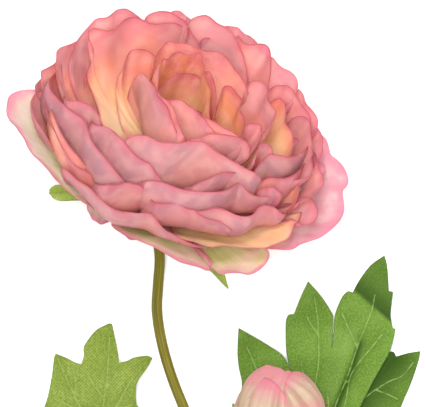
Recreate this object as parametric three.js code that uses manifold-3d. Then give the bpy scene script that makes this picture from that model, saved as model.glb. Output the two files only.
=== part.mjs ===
// A cut ranunculus: one full bloom and a bud on a leafy stem, lying on a surface (mm, +Z up)
import * as THREE from 'three';
import { mergeVertices } from 'three/addons/utils/BufferGeometryUtils.js';
import Module from 'manifold-3d';

const wasm = await Module();
wasm.setup();

// Driving dimensions
const bladeThick = 0.8;       // every petal, sepal and leaf blade
const gap = 0.3;              // between neighbouring pieces
const bloomLean = 39;         // the bloom's axis rises this steeply from the surface, degrees
const bloomTurn = 22;         // and points this far to the right of the stem, degrees
const bloomMiddle = 33;       // the bloom's middle above the surface
const seatDrop = 20;          // from there down the axis to the seat of the petals
const stemRadius = 1.5;
const stalkRadius = 1.1;
const budMiddle = [29, -79, 19];
const budHeight = 24;
const budLean = 18;           // the bud's axis above the surface, degrees
const budTurn = -6;           // and to the left of the stem, degrees
const lying = 1.45;           // height of the stem's line where it lies, so that it has a narrow flat

// Points are measured from below the bloom's middle, and the piece is then centred on its own middle
const pieceMiddle = new THREE.Vector3(12.5, -93.3, 0);

// Petals: [azimuth clockwise from the right, reach from the axis, height of the tip, width]
const guardPetals = [
  [164, 46.5, 12, 34], [14, 51.5, 11.5, 34], [46, 45.5, 10.5, 28],
  [78, 38.5, 6, 32, { arrive: 30 }], [121, 39, 9, 38, { arrive: 30 }], [343, 47, 17.5, 32, { arrive: 35 }],
  [228, 42, 18.5, 36, { arrive: 55 }], [285, 41.5, 19, 38, { arrive: 55 }],
];
const outerPetals = [
  [92, 39, 19, 32], [122, 40, 20, 32], [64, 41.5, 22, 36], [32, 42.5, 20.5, 28], [12, 45.5, 20, 26],
  [152, 40, 19.5, 28, { arrive: 80 }], [177, 41.5, 20.5, 28, { arrive: 80 }],
  [202, 39.5, 24, 28, { arrive: 80 }],
];
const tallPetals = [
  [220, 40, 27, 30], [243, 40, 29, 30], [267, 40, 30, 30], [288, 40, 29.5, 28],
  [306, 40, 29, 26], [325, 39.5, 27.5, 26], [345, 40, 26, 26], [4, 42, 25, 24],
];
const middlePetals = [
  [99, 38, 26, 28], [66, 39, 27, 38], [70, 35, 31.5, 36, { spiral: 2, skew: -0.08 }],
  [136, 36, 30, 40, { flat: 2.2 }], [174, 38.5, 27, 26, { arrive: 105 }], [114, 33, 32, 34, { skew: 0.04 }],
  [20, 35, 33, 28, { spiral: 2, arrive: 100 }], [76, 24, 35, 44, { flat: 2.4, arrive: 95 }],
  [188, 32.5, 30.5, 24, { arrive: 115 }],
];
const innerPetals = [
  [226, 35.5, 31, 32], [260, 34.5, 29.5, 28], [198, 30.5, 31, 24, { arrive: 100, spiral: -1 }],
  [320, 34, 30, 24],
  [350, 32, 30, 26, { spiral: 0 }], [288, 32, 31, 24], [266, 27.5, 31, 22], [310, 26.5, 32, 24],
  [14, 27.5, 31.5, 18, { arrive: 100 }],
];
const heartPetals = [
  [52, 17, 35, 26], [50, 12.5, 35.5, 20], [82, 9.5, 36, 18], [122, 15, 36, 26, { skew: 0.12 }],
  [172, 20.5, 36.5, 28, { spiral: 4, arrive: 105 }], [244, 15, 37, 24], [275, 19, 34, 24], [330, 20, 36, 24],
  [300, 11, 36, 16], [350, 23.5, 33.5, 18], [200, 11, 34, 14], [330, 9, 33, 10], [200, 6, 31, 10],
  [80, 6, 30, 10],
];
const sepals = [
  [142, 36, -4, 12], [47, 41, -4, 12], [348, 34, 1, 12], [283, 26, 3, 12], [215, 27, 3, 12],
];
const budPetals = [
  [20, 5, 24, 19], [92, 5.5, 24.5, 19], [164, 5, 24, 19], [236, 5.5, 24.5, 19], [308, 5, 24, 19],
];
const budSepals = [60, 132, 204, 276, 348].map((azimuth) => [azimuth, 14.4, 12, 12]);

// Routes of the stem, from under the bloom to its cut end, and of the bud's stalk: [x, y, height]
const stemRoute = [
  [-6.8, -28, 8.4], [-5.4, -36, 4.8], [-5.9, -45, 2.2], [-6.2, -52, lying], [-4.6, -62, lying],
  [-1.6, -72, lying], [2.4, -82, lying], [8.5, -97, lying], [15, -120, lying], [19.5, -142, lying],
  [22.5, -168, lying], [24, -195, lying], [24, -222, lying],
];
const stalkRoute = [[29, -112, 8.6], [26.5, -128, 4.6], [23.5, -142, 2.2], [21.5, -154, 1.8]];

// Leaves: the outline round each from one side of its petiole to the other, and its veins' bearings
const leftLeaf = {
  base: [-23.7, -88.6], baseHeight: 3, tipHeight: 0.6, arch: 5, fold: 1.2, wave: 0.7,
  veins: [150, 117, 83, 55, 25],
  outline: [[-28, -93], [-37, -92], [-45, -88], [-40, -83], [-38, -79], [-37, -70], [-36, -64.3],
    [-31, -65.5], [-27.7, -67.7], [-27.4, -62.6], [-24, -57.4], [-19.4, -55.7], [-18, -60],
    [-17.1, -66.9], [-12, -66.5], [-7.7, -65.4], [-9.5, -70], [-12.6, -73.7], [-12.3, -79.1],
    [-8, -84], [-5, -89], [-11, -91], [-19, -93]],
  petiole: [[-21.5, -87, 3.4], [-12, -92.5, 3.2], [-3, -98, 2.4], [6.4, -103.5, 1.7], [9.5, -105.5, 1.6]],
};
const rightLeaf = {
  base: [42, -91.4], baseHeight: 2.5, tipHeight: 0.6, arch: 1.6, fold: 0.9, wave: 0.6,
  veins: [168, 126, 95, 72, 45, 10],
  outline: [[38, -96], [30, -97], [19, -93], [13, -88], [17, -82], [18.6, -73.1], [15, -66],
    [17.3, -57.1], [23.7, -59.4], [30.6, -65.4], [31, -58], [33.4, -53], [37.7, -43.4], [44.3, -52],
    [45, -62.6], [46, -53], [50, -46.5], [53, -41], [59.7, -36], [61, -46], [61.7, -57], [60.9, -64.6],
    [64, -64.6], [70, -63.7], [68.3, -70.9], [64.9, -79.1], [70, -84], [73, -91], [65, -95], [54, -97],
    [46, -96]],
  petiole: [[42.5, -89.5, 2.9], [36, -100, 3.2], [28, -112, 2.6], [20, -122.5, 1.8], [17, -126, 1.6]],
};

// How each ring of petals leaves the receptacle and how its rim waves
const common = {
  rootRadius: 3, rootHeight: 0, launch: 8, arrive: 85, pull: 0.55, press: 0.42, base: 0.3, flat: 1.6,
  corner: 0.22, power: 3.6, skew: 0, wave: 1.2, freq: 2, spiral: 1.5, ripple: 0.8, sunk: 0.38,
};
const rings = {
  guard: { rootHeight: 0, launch: 4, arrive: 22, pull: 0.5, press: 0.3, flat: 2.2, corner: 0.3, power: 2.6,
    wave: 1, spiral: 0.8, sunk: 0.2 },
  outer: { rootHeight: 3.5, launch: 2, arrive: 66, press: 0.4, flat: 1.4, wave: 1.3, spiral: 2.5 },
  tall: { rootHeight: 5, launch: 4, arrive: 80, flat: 1.3, wave: 1.3, spiral: 3 },
  middle: { rootHeight: 6, launch: 6, arrive: 86 },
  inner: { rootHeight: 7.5, launch: 8, arrive: 86, spiral: 2.5 },
  heart: { rootHeight: 11, launch: 28, arrive: 92, pull: 0.5, flat: 1.3, wave: 0.9, sunk: 0.3 },
  sepal: { rootHeight: -1.5, launch: -3, arrive: 0, pull: 0.4, press: 0.3, base: 0.8, flat: 3, corner: 0.55,
    power: 1.5, wave: 0.5, spiral: 0, ripple: 0, sunk: 0 },
  bud: { rootRadius: 2, rootHeight: 1.5, launch: 8, arrive: 148, pull: 0.52, press: 0.55, flat: 1, wave: 0.3,
    spiral: 1.6, ripple: 0.4, sunk: 0.25 },
  budSepal: { rootRadius: 1.5, rootHeight: 0, launch: 6, arrive: 84, pull: 0.7, press: 0.4, base: 0.5,
    flat: 1.1, corner: 0.5, power: 1.6, wave: 0.3, spiral: 0, ripple: 0, sunk: 0 },
};

const radians = THREE.MathUtils.degToRad;
const smooth = (x) => THREE.MathUtils.smoothstep(x, 0, 1);

// The frame of a bloom or bud: across, toward the viewer, and up its axis
function axisFrame(origin, turn, lean) {
  const [t, l] = [radians(turn), radians(lean)];
  return {
    origin,
    across: new THREE.Vector3(Math.cos(t), -Math.sin(t), 0),
    toward: new THREE.Vector3(-Math.sin(l) * Math.sin(t), -Math.sin(l) * Math.cos(t), Math.cos(l)),
    up: new THREE.Vector3(Math.cos(l) * Math.sin(t), Math.cos(l) * Math.cos(t), Math.sin(l)),
  };
}

function framePoint(frame, across, toward, up) {
  return frame.origin.clone().addScaledVector(frame.across, across)
    .addScaledVector(frame.toward, toward).addScaledVector(frame.up, up);
}

// The middle surface of a petal, as rows of points from its root to its rim
function petalGrid(frame, ring, petal, index, columns, rows, grow = 0) {
  const [azimuth, reach, height, width, own] = petal;
  const p = { ...common, ...rings[ring], ...own };
  const angle = radians(azimuth);
  const phase = 2.4 * index;
  const span = Math.hypot(reach - p.rootRadius, height - p.rootHeight);
  const profile = new THREE.CubicBezierCurve(
    new THREE.Vector2(p.rootRadius, p.rootHeight),
    new THREE.Vector2(p.rootRadius + p.pull * span * Math.cos(radians(p.launch)),
      p.rootHeight + p.pull * span * Math.sin(radians(p.launch))),
    new THREE.Vector2(reach - p.press * span * Math.cos(radians(p.arrive)),
      height - p.press * span * Math.sin(radians(p.arrive))),
    new THREE.Vector2(reach, height),
  );
  const grid = [];
  for (let row = 0; row <= rows; row += 1) {
    const v = p.sunk + (1 - p.sunk) * row / rows;
    const line = [];
    for (let column = 0; column <= columns; column += 1) {
      const u = -1 + 2 * column / columns;
      const t = v * (1 - p.corner * Math.abs(u) ** p.power + p.skew * u + grow / span);
      const at = profile.getPoint(t);
      const along = profile.getPoint(t + 0.01).sub(at).normalize();
      const spread = smooth(t / 0.62);
      const side = u * (grow + 0.5 * width * (p.base + (1 - p.base) * spread));
      const turn = Math.PI * p.freq * u;
      const wave = p.wave * v ** 2.2 * (Math.sin(turn + phase) + 0.35 * Math.sin(2.3 * turn + 1.7 * phase));
      const out = wave + p.spiral * u * spread;
      const lift = p.ripple * v ** 3 * Math.sin(1.3 * turn + 1.3 * phase + 1);
      const radius = at.x + along.y * out + along.x * lift;
      const bend = Math.max(at.x * p.flat, 6);
      const radial = radius - bend * (1 - Math.cos(side / bend));
      const tangent = bend * Math.sin(side / bend);
      line.push(framePoint(frame,
        radial * Math.cos(angle) - tangent * Math.sin(angle),
        radial * Math.sin(angle) + tangent * Math.cos(angle),
        at.y - along.x * out + along.y * lift));
    }
    grid.push(line);
  }
  return grid;
}

// A closed blade round a grid of points, split into triangles alike on both faces
function blade(grid, thick) {
  const [rows, columns] = [grid.length, grid[0].length];
  const half = rows * columns;
  const corners = new Float32Array(6 * half);
  const across = new THREE.Vector3();
  const along = new THREE.Vector3();
  for (let i = 0; i < rows; i += 1) {
    for (let j = 0; j < columns; j += 1) {
      across.subVectors(grid[i][Math.min(j + 1, columns - 1)], grid[i][Math.max(j - 1, 0)]);
      along.subVectors(grid[Math.min(i + 1, rows - 1)][j], grid[Math.max(i - 1, 0)][j]);
      const normal = across.cross(along).normalize().multiplyScalar(thick / 2);
      grid[i][j].clone().add(normal).toArray(corners, 3 * (i * columns + j));
      grid[i][j].clone().sub(normal).toArray(corners, 3 * (half + i * columns + j));
    }
  }
  const faces = [];
  for (let i = 0; i + 1 < rows; i += 1) {
    for (let j = 0; j + 1 < columns; j += 1) {
      const a = i * columns + j;
      const b = a + 1;
      const c = b + columns;
      const d = a + columns;
      faces.push(a, b, c, a, c, d, half + a, half + c, half + b, half + a, half + d, half + c);
    }
  }
  const rim = [];
  for (let j = 0; j + 1 < columns; j += 1) rim.push(j);
  for (let i = 0; i + 1 < rows; i += 1) rim.push(i * columns + columns - 1);
  for (let j = columns - 1; j > 0; j -= 1) rim.push((rows - 1) * columns + j);
  for (let i = rows - 1; i > 0; i -= 1) rim.push(i * columns);
  rim.forEach((p, k) => {
    const q = rim[(k + 1) % rim.length];
    faces.push(q, p, half + p, q, half + p, half + q);
  });
  const mesh = new wasm.Mesh({ numProp: 3, vertProperties: corners, triVerts: new Uint32Array(faces) });
  return new wasm.Manifold(mesh);
}

// A closed mesh as a solid, moved to its place once its shared vertices are merged
function solid(geometry, place = new THREE.Matrix4()) {
  const bare = geometry.clone();
  bare.deleteAttribute('normal');
  bare.deleteAttribute('uv');
  const merged = mergeVertices(bare, 1e-4).applyMatrix4(place);
  return new wasm.Manifold(new wasm.Mesh({
    numProp: 3,
    vertProperties: new Float32Array(merged.attributes.position.array),
    triVerts: new Uint32Array(merged.index.array),
  }));
}

const fuse = (bodies) => bodies.reduce((whole, body) => whole.add(body));
const largest = (body) => body.decompose().reduce((a, b) => (a.volume() > b.volume() ? a : b));

// A turned core, from [radius, height] pairs that start and end on the axis
function core(frame, profile, sides) {
  const turned = new THREE.LatheGeometry(profile.map(([r, h]) => new THREE.Vector2(r, h)), sides);
  const down = frame.toward.clone().negate();
  const place = new THREE.Matrix4().makeBasis(frame.across, down, frame.up).setPosition(frame.origin);
  return solid(turned.rotateX(Math.PI / 2), place);
}

// A round rod along a smooth curve through points
function rod(points, radius, steps, sides) {
  const corners = [];
  for (let k = 0; k < sides; k += 1) {
    const angle = 2 * Math.PI * (k + 0.5) / sides;
    corners.push(new THREE.Vector2(radius * Math.cos(angle), radius * Math.sin(angle)));
  }
  const extrudePath = new THREE.CatmullRomCurve3(points);
  const section = new THREE.Shape(corners);
  return solid(new THREE.ExtrudeGeometry(section, { steps, extrudePath, bevelEnabled: false }));
}

// One ring of petals as blades, or the wider blades that leave room round it
function whorl(frame, ring, petals, columns, rows) {
  return petals.map((petal, index) => blade(petalGrid(frame, ring, petal, index, columns, rows), bladeThick));
}

function whorlRoom(frame, ring, petals, columns, rows) {
  const wide = bladeThick + 2 * gap;
  return petals.map((petal, index) => blade(petalGrid(frame, ring, petal, index, columns, rows, gap), wide));
}

// A lobed leaf blade: rings from its base out to the outline, arched, and creased along its veins
function leafGrid(leaf, rows) {
  const [baseX, baseY] = leaf.base;
  const grid = [];
  for (let row = 0; row <= rows; row += 1) {
    const t = 0.07 + 0.93 * row / rows;
    grid.push(leaf.outline.map(([x, y]) => {
      const bearing = Math.atan2(y - baseY, x - baseX);
      const fromVein = Math.min(...leaf.veins.map((vein) => Math.abs(bearing - radians(vein))));
      const reach = Math.hypot(x - baseX, y - baseY);
      const height = leaf.baseHeight + (leaf.tipHeight - leaf.baseHeight) * t
        + leaf.arch * Math.sin(Math.PI * t ** 0.8) + leaf.fold * t * Math.min(4 * fromVein, 1)
        + leaf.wave * t * t * Math.sin(5 * bearing + 0.08 * reach);
      const lifted = Math.max(height, bladeThick / 2);
      return new THREE.Vector3(baseX + t * (x - baseX), baseY + t * (y - baseY), lifted).sub(pieceMiddle);
    }));
  }
  return grid;
}

const placed = (route) => route.map((point) => new THREE.Vector3(...point).sub(pieceMiddle));

// The frame of a bloom or bud whose seat lies some way down its axis from its middle
function seatedFrame(point, drop, turn, lean) {
  const frame = axisFrame(new THREE.Vector3(...point).sub(pieceMiddle), turn, lean);
  frame.origin.addScaledVector(frame.up, -drop);
  return frame;
}

// Everything stays on or above the surface, with small flat spots where it touches
const aboveSurface = solid(new THREE.BoxGeometry(600, 600, 200).translate(0, 0, 100));

// Bloom: guard petals at the back, the salmon petals in their rings, then the heart
const bloom = seatedFrame([0, 0, bloomMiddle], seatDrop, bloomTurn, bloomLean);
const guardCore = core(bloom, [[0, -0.7], [12, -0.7], [16, 0.7], [14, 2.8], [0, 2.8]], 16);
const guard = fuse([guardCore, ...whorl(bloom, 'guard', guardPetals, 5, 4)]).intersect(aboveSurface);
const guardRoom = fuse(whorlRoom(bloom, 'guard', guardPetals, 5, 4));

const petalCore = core(bloom,
  [[0, 3.1], [14, 3.1], [24, 5.5], [27, 9], [26, 12.4], [18, 13], [9, 12.5], [0, 12.5]], 18);
const petals = fuse([
  petalCore,
  ...whorl(bloom, 'outer', outerPetals, 5, 3),
  ...whorl(bloom, 'tall', tallPetals, 5, 3),
  ...whorl(bloom, 'middle', middlePetals, 5, 3),
  ...whorl(bloom, 'inner', innerPetals, 5, 3),
]).subtract(guardRoom).intersect(aboveSurface);

const heartCore = core(bloom, [[0, 13.3], [10, 13.5], [13, 17], [10, 22], [5, 24], [0, 24]], 12);
const petalRoom = fuse([
  ...whorlRoom(bloom, 'middle', middlePetals, 5, 3),
  ...whorlRoom(bloom, 'inner', innerPetals, 5, 3),
]);
const heart = fuse([heartCore, ...whorl(bloom, 'heart', heartPetals, 4, 3)]).subtract(petalRoom);

// Calyx behind the bloom, between the guard petals and the stem's seat
const calyxCore = core(bloom, [[0, -2.2], [5, -2.2], [5.5, -1.6], [5, -1], [0, -1]], 12);
const guardCoreRoom = core(bloom, [[0, -1], [12.4, -1], [16.4, 0.6], [14, 3.1], [0, 3.1]], 16);
const calyx = fuse([calyxCore, ...whorl(bloom, 'sepal', sepals, 3, 4)])
  .subtract(guardRoom).subtract(guardCoreRoom).intersect(aboveSurface);

// Stem, with its seat under the calyx
const stemPath = [framePoint(bloom, 0, 0, -4), framePoint(bloom, 0, 0, -9), ...placed(stemRoute)];
const seat = core(bloom, [[0, -8.5], [1.6, -8.5], [2.6, -6], [4.6, -3.4], [4.6, -2.5], [0, -2.5]], 12);
const stem = fuse([seat, rod(stemPath, stemRadius, 32, 8)]).intersect(aboveSurface);
const stemRoom = rod(stemPath, stemRadius + gap, 32, 8);

// Leaves, each with its petiole, which ends on the stem
function leafPiece(leaf) {
  const parts = [blade(leafGrid(leaf, 4), bladeThick), rod(placed(leaf.petiole), stalkRadius, 6, 6)];
  return fuse(parts).subtract(stemRoom).intersect(aboveSurface);
}

// Bud, with its own calyx and the stalk that joins the stem
const bud = seatedFrame(budMiddle, budHeight / 2, budTurn, budLean);
const budCore = core(bud, [[0, 1.3], [5, 1.3], [9.5, 5], [10.8, 11], [9, 17], [4, 21], [0, 21.5]], 14);
const budFlower = fuse([budCore, ...whorl(bud, 'bud', budPetals, 4, 3)]);
const budCalyxCore = core(bud, [[0, -2], [2.5, -2], [4, -0.6], [4, 0.6], [0, 0.6]], 12);
const budCalyx = fuse([budCalyxCore, ...whorl(bud, 'budSepal', budSepals, 3, 3)]);
const stalkPath = [framePoint(bud, 0, 0, -2.3), framePoint(bud, 0, 0, -8), ...placed(stalkRoute)];
const stalk = rod(stalkPath, stalkRadius, 12, 6).subtract(stemRoom);

const flower = new THREE.Group();

// Adds one closed body, with any scrap that a cut left loose dropped
function addPiece(name, body, color, roughness) {
  const mesh = largest(body).getMesh();
  const geometry = new THREE.BufferGeometry();
  geometry.setAttribute('position', new THREE.BufferAttribute(new Float32Array(mesh.vertProperties), 3));
  geometry.setIndex(new THREE.BufferAttribute(new Uint32Array(mesh.triVerts), 1));
  geometry.computeVertexNormals();
  const piece = new THREE.Mesh(geometry, new THREE.MeshStandardMaterial({ color, roughness, metalness: 0 }));
  piece.name = name;
  flower.add(piece);
}

addPiece('stem', stem, 0x7d8b45, 0.5);
addPiece('calyx', calyx, 0x8aa54a, 0.6);
addPiece('guard_petals', guard, 0xe6dcc0, 0.6);
addPiece('bloom_petals', petals, 0xec9a94, 0.6);
addPiece('heart_petals', heart, 0xe8a27a, 0.6);
addPiece('leaf_left', leafPiece(leftLeaf), 0xa5b86a, 0.6);
addPiece('leaf_right', leafPiece(rightLeaf), 0x7fa33f, 0.6);
addPiece('bud_stalk', stalk, 0x8a9a4c, 0.5);
addPiece('bud_calyx', budCalyx, 0x9db265, 0.6);
addPiece('bud_petals', budFlower, 0xe9c9a8, 0.6);

export default flower;
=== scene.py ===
# A cut ranunculus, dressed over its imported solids: petals, bud, leaves and stem in fine cloth (metres, +Z up)
import math

import bpy
import numpy as np
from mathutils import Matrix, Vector
from mathutils.geometry import delaunay_2d_cdt


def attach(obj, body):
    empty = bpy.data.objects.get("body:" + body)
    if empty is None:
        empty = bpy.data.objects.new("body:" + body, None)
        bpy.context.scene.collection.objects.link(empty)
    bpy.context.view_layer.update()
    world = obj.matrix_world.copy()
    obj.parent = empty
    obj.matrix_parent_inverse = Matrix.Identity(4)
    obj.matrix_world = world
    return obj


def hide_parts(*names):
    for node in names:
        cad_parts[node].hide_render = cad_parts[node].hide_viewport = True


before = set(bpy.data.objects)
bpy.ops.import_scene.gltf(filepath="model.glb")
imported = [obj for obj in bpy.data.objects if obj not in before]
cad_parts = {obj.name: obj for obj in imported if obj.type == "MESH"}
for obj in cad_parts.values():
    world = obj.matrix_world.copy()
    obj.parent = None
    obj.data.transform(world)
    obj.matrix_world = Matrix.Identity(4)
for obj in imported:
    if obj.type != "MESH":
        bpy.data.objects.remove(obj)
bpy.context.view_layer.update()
print("frame loaded,", len(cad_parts), "solids")

mm = 0.001
sharpFold = 55  # degrees from which an edge of a mesh isn't smoothed

# The lay of the bloom and the bud, as in the solids. Drawing points are in mm, from the spot below the
# bloom's middle.
layout = {
    "pieceMiddle": (12.5, -93.3, 0),
    "bloom": {"middle": (0, 0, 33), "drop": 20, "turn": 22, "lean": 39},
    "bud": {"middle": (29, -79, 19), "drop": 12, "turn": -6, "lean": 18},
}

tracing = {  # the picture's grid: where the bloom's middle is on it, and its steps to the mm
    "middle": (178, 130), "scale": 3.5,
    "step": 1.5,  # between points of an edge
    "endDrop": 4,  # mm that an edge's ends lie below its middle, if no height is given
}

cameraView = {
    "lookAt": (-2.5, 72.3),  # mm, straight down on the flower as it lies
    "distance": 2500,
    "frameWidth": 121.7,  # mm across the picture
    "atHeight": 33,
    "sensor": 36,
}

studio = {
    "sky": ("#ffffff", 0.61),
    "lamps": [  # name, place in metres, size, power
        ("keyLamp", (-0.12, -0.02, 2.4), 0.8, 45),
        ("topLamp", (-0.1, 1.15, 2.1), 0.7, 29),
        ("fillLamp", (1.7, 0.2, 1.0), 1.2, 10),
    ],
    "floorColor": "#ffffff",
    "floorSize": 24,
    "floorGrain": {"scale": 900.0, "amount": 0.03, "color": "#d9d8d4"},
}


# Colours are written as sRGB and used as linear
def shade(text):
    channels = [int(text[k:k + 2], 16) / 255 for k in (1, 3, 5)]
    linear = [c / 12.92 if c <= 0.04045 else ((c + 0.055) / 1.055) ** 2.4 for c in channels]
    return (*linear, 1)


# Node helpers
def fill(tree, node, inputs):
    for socket, value in inputs.items():
        if isinstance(value, bpy.types.NodeSocket):
            tree.links.new(value, node.inputs[socket])
        else:
            node.inputs[socket].default_value = value


def put(tree, kind, inputs=None, **settings):
    node = tree.nodes.new("ShaderNode" + kind)
    for name, value in settings.items():
        setattr(node, name, value)
    fill(tree, node, inputs or {})
    return node


def maths(tree, operation, a, b=0.0, c=0.0):
    return put(tree, "Math", {0: a, 1: b, 2: c}, operation=operation).outputs[0]


def times(tree, a, b):
    return maths(tree, "MULTIPLY", a, b)


def clamp(tree, value):
    return put(tree, "Clamp", {0: value}).outputs[0]


def fade(tree, value, low, high, start=0.0, end=1.0):  # smooth step from low to high
    inputs = {"Value": value, "From Min": low, "From Max": high, "To Min": start, "To Max": end}
    return put(tree, "MapRange", inputs, interpolation_type="SMOOTHSTEP").outputs["Result"]


def blend(tree, amount, first, second):
    return put(tree, "Mix", {0: amount, 6: first, 7: second}, data_type="RGBA").outputs[2]


def tint(tree, color, mask, amount, overlay):  # lays one colour over another by a mask, such as a dye or a painted highlight
    return blend(tree, times(tree, mask, amount), color, shade(overlay))


def ramp(tree, value, stops):
    node = put(tree, "ValToRGB", {"Fac": value})
    elements = node.color_ramp.elements
    (elements[0].position, first), (elements[-1].position, last) = stops[0], stops[-1]
    elements[0].color = shade(first)
    elements[-1].color = shade(last)
    for position, color in stops[1:-1]:
        elements.new(position).color = shade(color)
    return node.outputs["Color"]


def scaledPlace(tree, place, scale):
    return put(tree, "VectorMath", {0: place, "Scale": scale}, operation="SCALE").outputs[0]


def noise(tree, place, seed, scale, detail, **more):  # differs with the seed
    inputs = {"Vector": place, "W": seed, "Scale": scale, "Detail": detail, **more}
    return put(tree, "TexNoise", inputs, noise_dimensions="4D").outputs["Fac"]


def bump(tree, height, depth):
    return put(tree, "Bump", {"Height": height, "Distance": depth, "Strength": 1.0}).outputs["Normal"]


# A node group that is given a place on the cloth, a seed and some numbers
def startGroup(name, numbers, outputs):
    tree = bpy.data.node_groups.new(name, "ShaderNodeTree")
    tree.interface.new_socket(name="Place", in_out="INPUT", socket_type="NodeSocketVector")
    for label, value in {"Seed": 0.0, **numbers}.items():
        socket = tree.interface.new_socket(name=label, in_out="INPUT", socket_type="NodeSocketFloat")
        socket.default_value = value
    for label in outputs:
        tree.interface.new_socket(name=label, in_out="OUTPUT", socket_type="NodeSocketFloat")
    return tree, tree.nodes.new("NodeGroupInput").outputs, tree.nodes.new("NodeGroupOutput").inputs


def useGroup(tree, group, place, seed, **inputs):
    node = put(tree, "Group", node_tree=group)
    fill(tree, node, {"Place": place, "Seed": seed, **inputs})
    return node.outputs


# A plain weave: threads over and under, with thicker and thinner ones
def makeWeave():
    tree, given, made = startGroup("clothWeave", {"Threads": 3.0}, ["Height", "Thread"])
    scaled = scaledPlace(tree, given["Place"], given["Threads"])
    axes = put(tree, "SeparateXYZ", {0: scaled}).outputs
    warp, weft = (maths(tree, "SINE", times(tree, axes[k], math.pi)) for k in (0, 1))
    crossing = times(tree, warp, weft)
    slubs = noise(tree, scaled, given["Seed"], scale=0.55, detail=2.0)
    tree.links.new(times(tree, crossing, 0.5), made["Height"])
    tree.links.new(maths(tree, "ADD", times(tree, crossing, 0.22), slubs), made["Thread"])
    return tree


# Dye that creeps in from a cut edge: a thin dark line and a wider soft band, both of uneven width
def makeRimDye():
    tree, given, made = startGroup("rimDye", {"Distance": 0.0, "Line": 0.4, "Band": 3.0}, ["Line", "Band"])
    uneven = noise(tree, given["Place"], given["Seed"], scale=0.16, detail=2.0)
    width = times(tree, given["Line"], fade(tree, uneven, 0.38, 0.62, start=0.35, end=1.3))
    reach = times(tree, given["Band"], fade(tree, uneven, 0.3, 0.7, start=0.35, end=1.6))
    for label, end, full in (("Line", width, 0.3), ("Band", reach, 0.0)):
        part = maths(tree, "DIVIDE", given["Distance"], end)
        tree.links.new(fade(tree, part, full, 1.0, start=1.0, end=0.0), made[label])
    return tree


# Soft patches of one size
def makeMottle():
    tree, given, made = startGroup("softMottle", {"Size": 10.0}, ["Mask", "Value"])
    scaled = scaledPlace(tree, given["Place"], maths(tree, "DIVIDE", 1.0, given["Size"]))
    value = noise(tree, scaled, given["Seed"], scale=1.0, detail=1.5, Roughness=0.4)
    tree.links.new(fade(tree, value, 0.42, 0.62), made["Mask"])
    tree.links.new(value, made["Value"])
    return tree


# Fine creases that run from the root of a petal to its rim
def makeCreases():
    tree, given, made = startGroup("longCreases", {"Width": 1.5}, ["Height", "Streak"])
    axes = put(tree, "SeparateXYZ", {0: given["Place"]}).outputs
    side = maths(tree, "DIVIDE", axes[0], given["Width"])
    onward = times(tree, axes[1], 0.06)  # drawn out along the petal
    place = put(tree, "CombineXYZ", {0: side, 1: onward}).outputs[0]
    value = noise(tree, place, given["Seed"], scale=1.0, detail=3.0)
    tree.links.new(value, made["Height"])
    tree.links.new(fade(tree, value, 0.35, 0.65), made["Streak"])
    return tree


weave = makeWeave()
rimDye = makeRimDye()
mottle = makeMottle()
creases = makeCreases()


def startMaterial(name):
    material = bpy.data.materials.new(name)
    material.use_nodes = True
    tree = material.node_tree
    tree.nodes.clear()
    return material, tree, put(tree, "OutputMaterial").inputs["Surface"]


# A material that reads the place on the cloth and some of its piece's marks
def startCloth(name, *marks):
    material, tree, surface = startMaterial(name)
    place = put(tree, "UVMap", uv_map="cloth").outputs["UV"]
    return material, tree, surface, place, *(
        put(tree, "Attribute", attribute_name=mark).outputs["Fac"] for mark in marks)


# Roughness that swings about the look's own, with a value from low to high
def unevenRoughness(tree, value, low, high, look, swing):
    return fade(tree, value, low, high, look["roughness"] - swing, look["roughness"] + swing)


# Thin cloth: its matt front, and the light that comes through from behind
def makeThin(tree, surface, look, color, through, relief, front):
    normal = bump(tree, relief, mm)
    front = put(tree, "BsdfPrincipled", {"Base Color": color, "Normal": normal, **front}).outputs[0]
    back = put(tree, "BsdfTranslucent", {"Color": through, "Normal": normal}).outputs[0]
    tree.links.new(put(tree, "MixShader", {0: look["glow"], 1: front, 2: back}).outputs[0], surface)


# Dyed petal cloth: rose or orange by its tone, duller mauve in patches, darker toward the same mauve where a
# petal carries painted shade, with painted highlights in small pale patches and its dye gathered at the rim
def petalCloth(name, look):
    material, tree, surface, place, seed, along, rim, outer, tone, dusk = startCloth(
        name, "seed", "along", "rim", "outer", "tone", "dusk")
    patches = useGroup(tree, mottle, place, seed, Size=look["patchSize"])
    small = useGroup(tree, mottle, place, seed, Size=look["patchSize"] * 0.45)
    folds = useGroup(tree, creases, place, seed, Width=look["creaseWidth"])
    overlay = useGroup(tree, rimDye, place, seed, Distance=rim, Line=look["lineWidth"], Band=look["bandWidth"])
    threads = useGroup(tree, weave, place, seed, Threads=look["threads"])
    shift = times(tree, maths(tree, "SUBTRACT", patches["Value"], 0.5), look["uneven"])
    height = maths(tree, "ADD", along, shift)
    orange = clamp(tree, maths(tree, "MULTIPLY_ADD", outer, look["outside"], tone))
    color = blend(tree, orange, ramp(tree, height, look["cool"]), ramp(tree, height, look["warm"]))
    # duller mauve patches of the cloth, and the petal's painted shade laid in the same mauve
    dusky = times(tree, patches["Mask"], fade(tree, orange, 0.0, 0.7, start=look["duskyAmount"], end=0.0))
    color = blend(tree, clamp(tree, maths(tree, "ADD", dusky, dusk)), color, shade(look["duskyColor"]))
    # painted highlights in small pale patches, then streaks and the rim's dye
    layers = {"pale": small["Mask"], "streak": folds["Streak"], "band": overlay["Band"], "line": overlay["Line"]}
    for layer, mask in layers.items():
        color = tint(tree, color, mask, look[layer], look[layer + "Color"])
    relief = maths(tree, "ADD", times(tree, folds["Height"], look["creaseDepth"]),
                   times(tree, threads["Height"], look["threadDepth"]))
    warm = blend(tree, look["warmth"], color, shade(look["glowColor"]))
    makeThin(tree, surface, look, color, warm, relief, {
        "Roughness": unevenRoughness(tree, threads["Thread"], 0.2, 0.8, look, 0.08),
        "Specular IOR Level": 0.2, "Sheen Weight": look["sheen"], "Sheen Roughness": 0.45})
    return material
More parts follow.
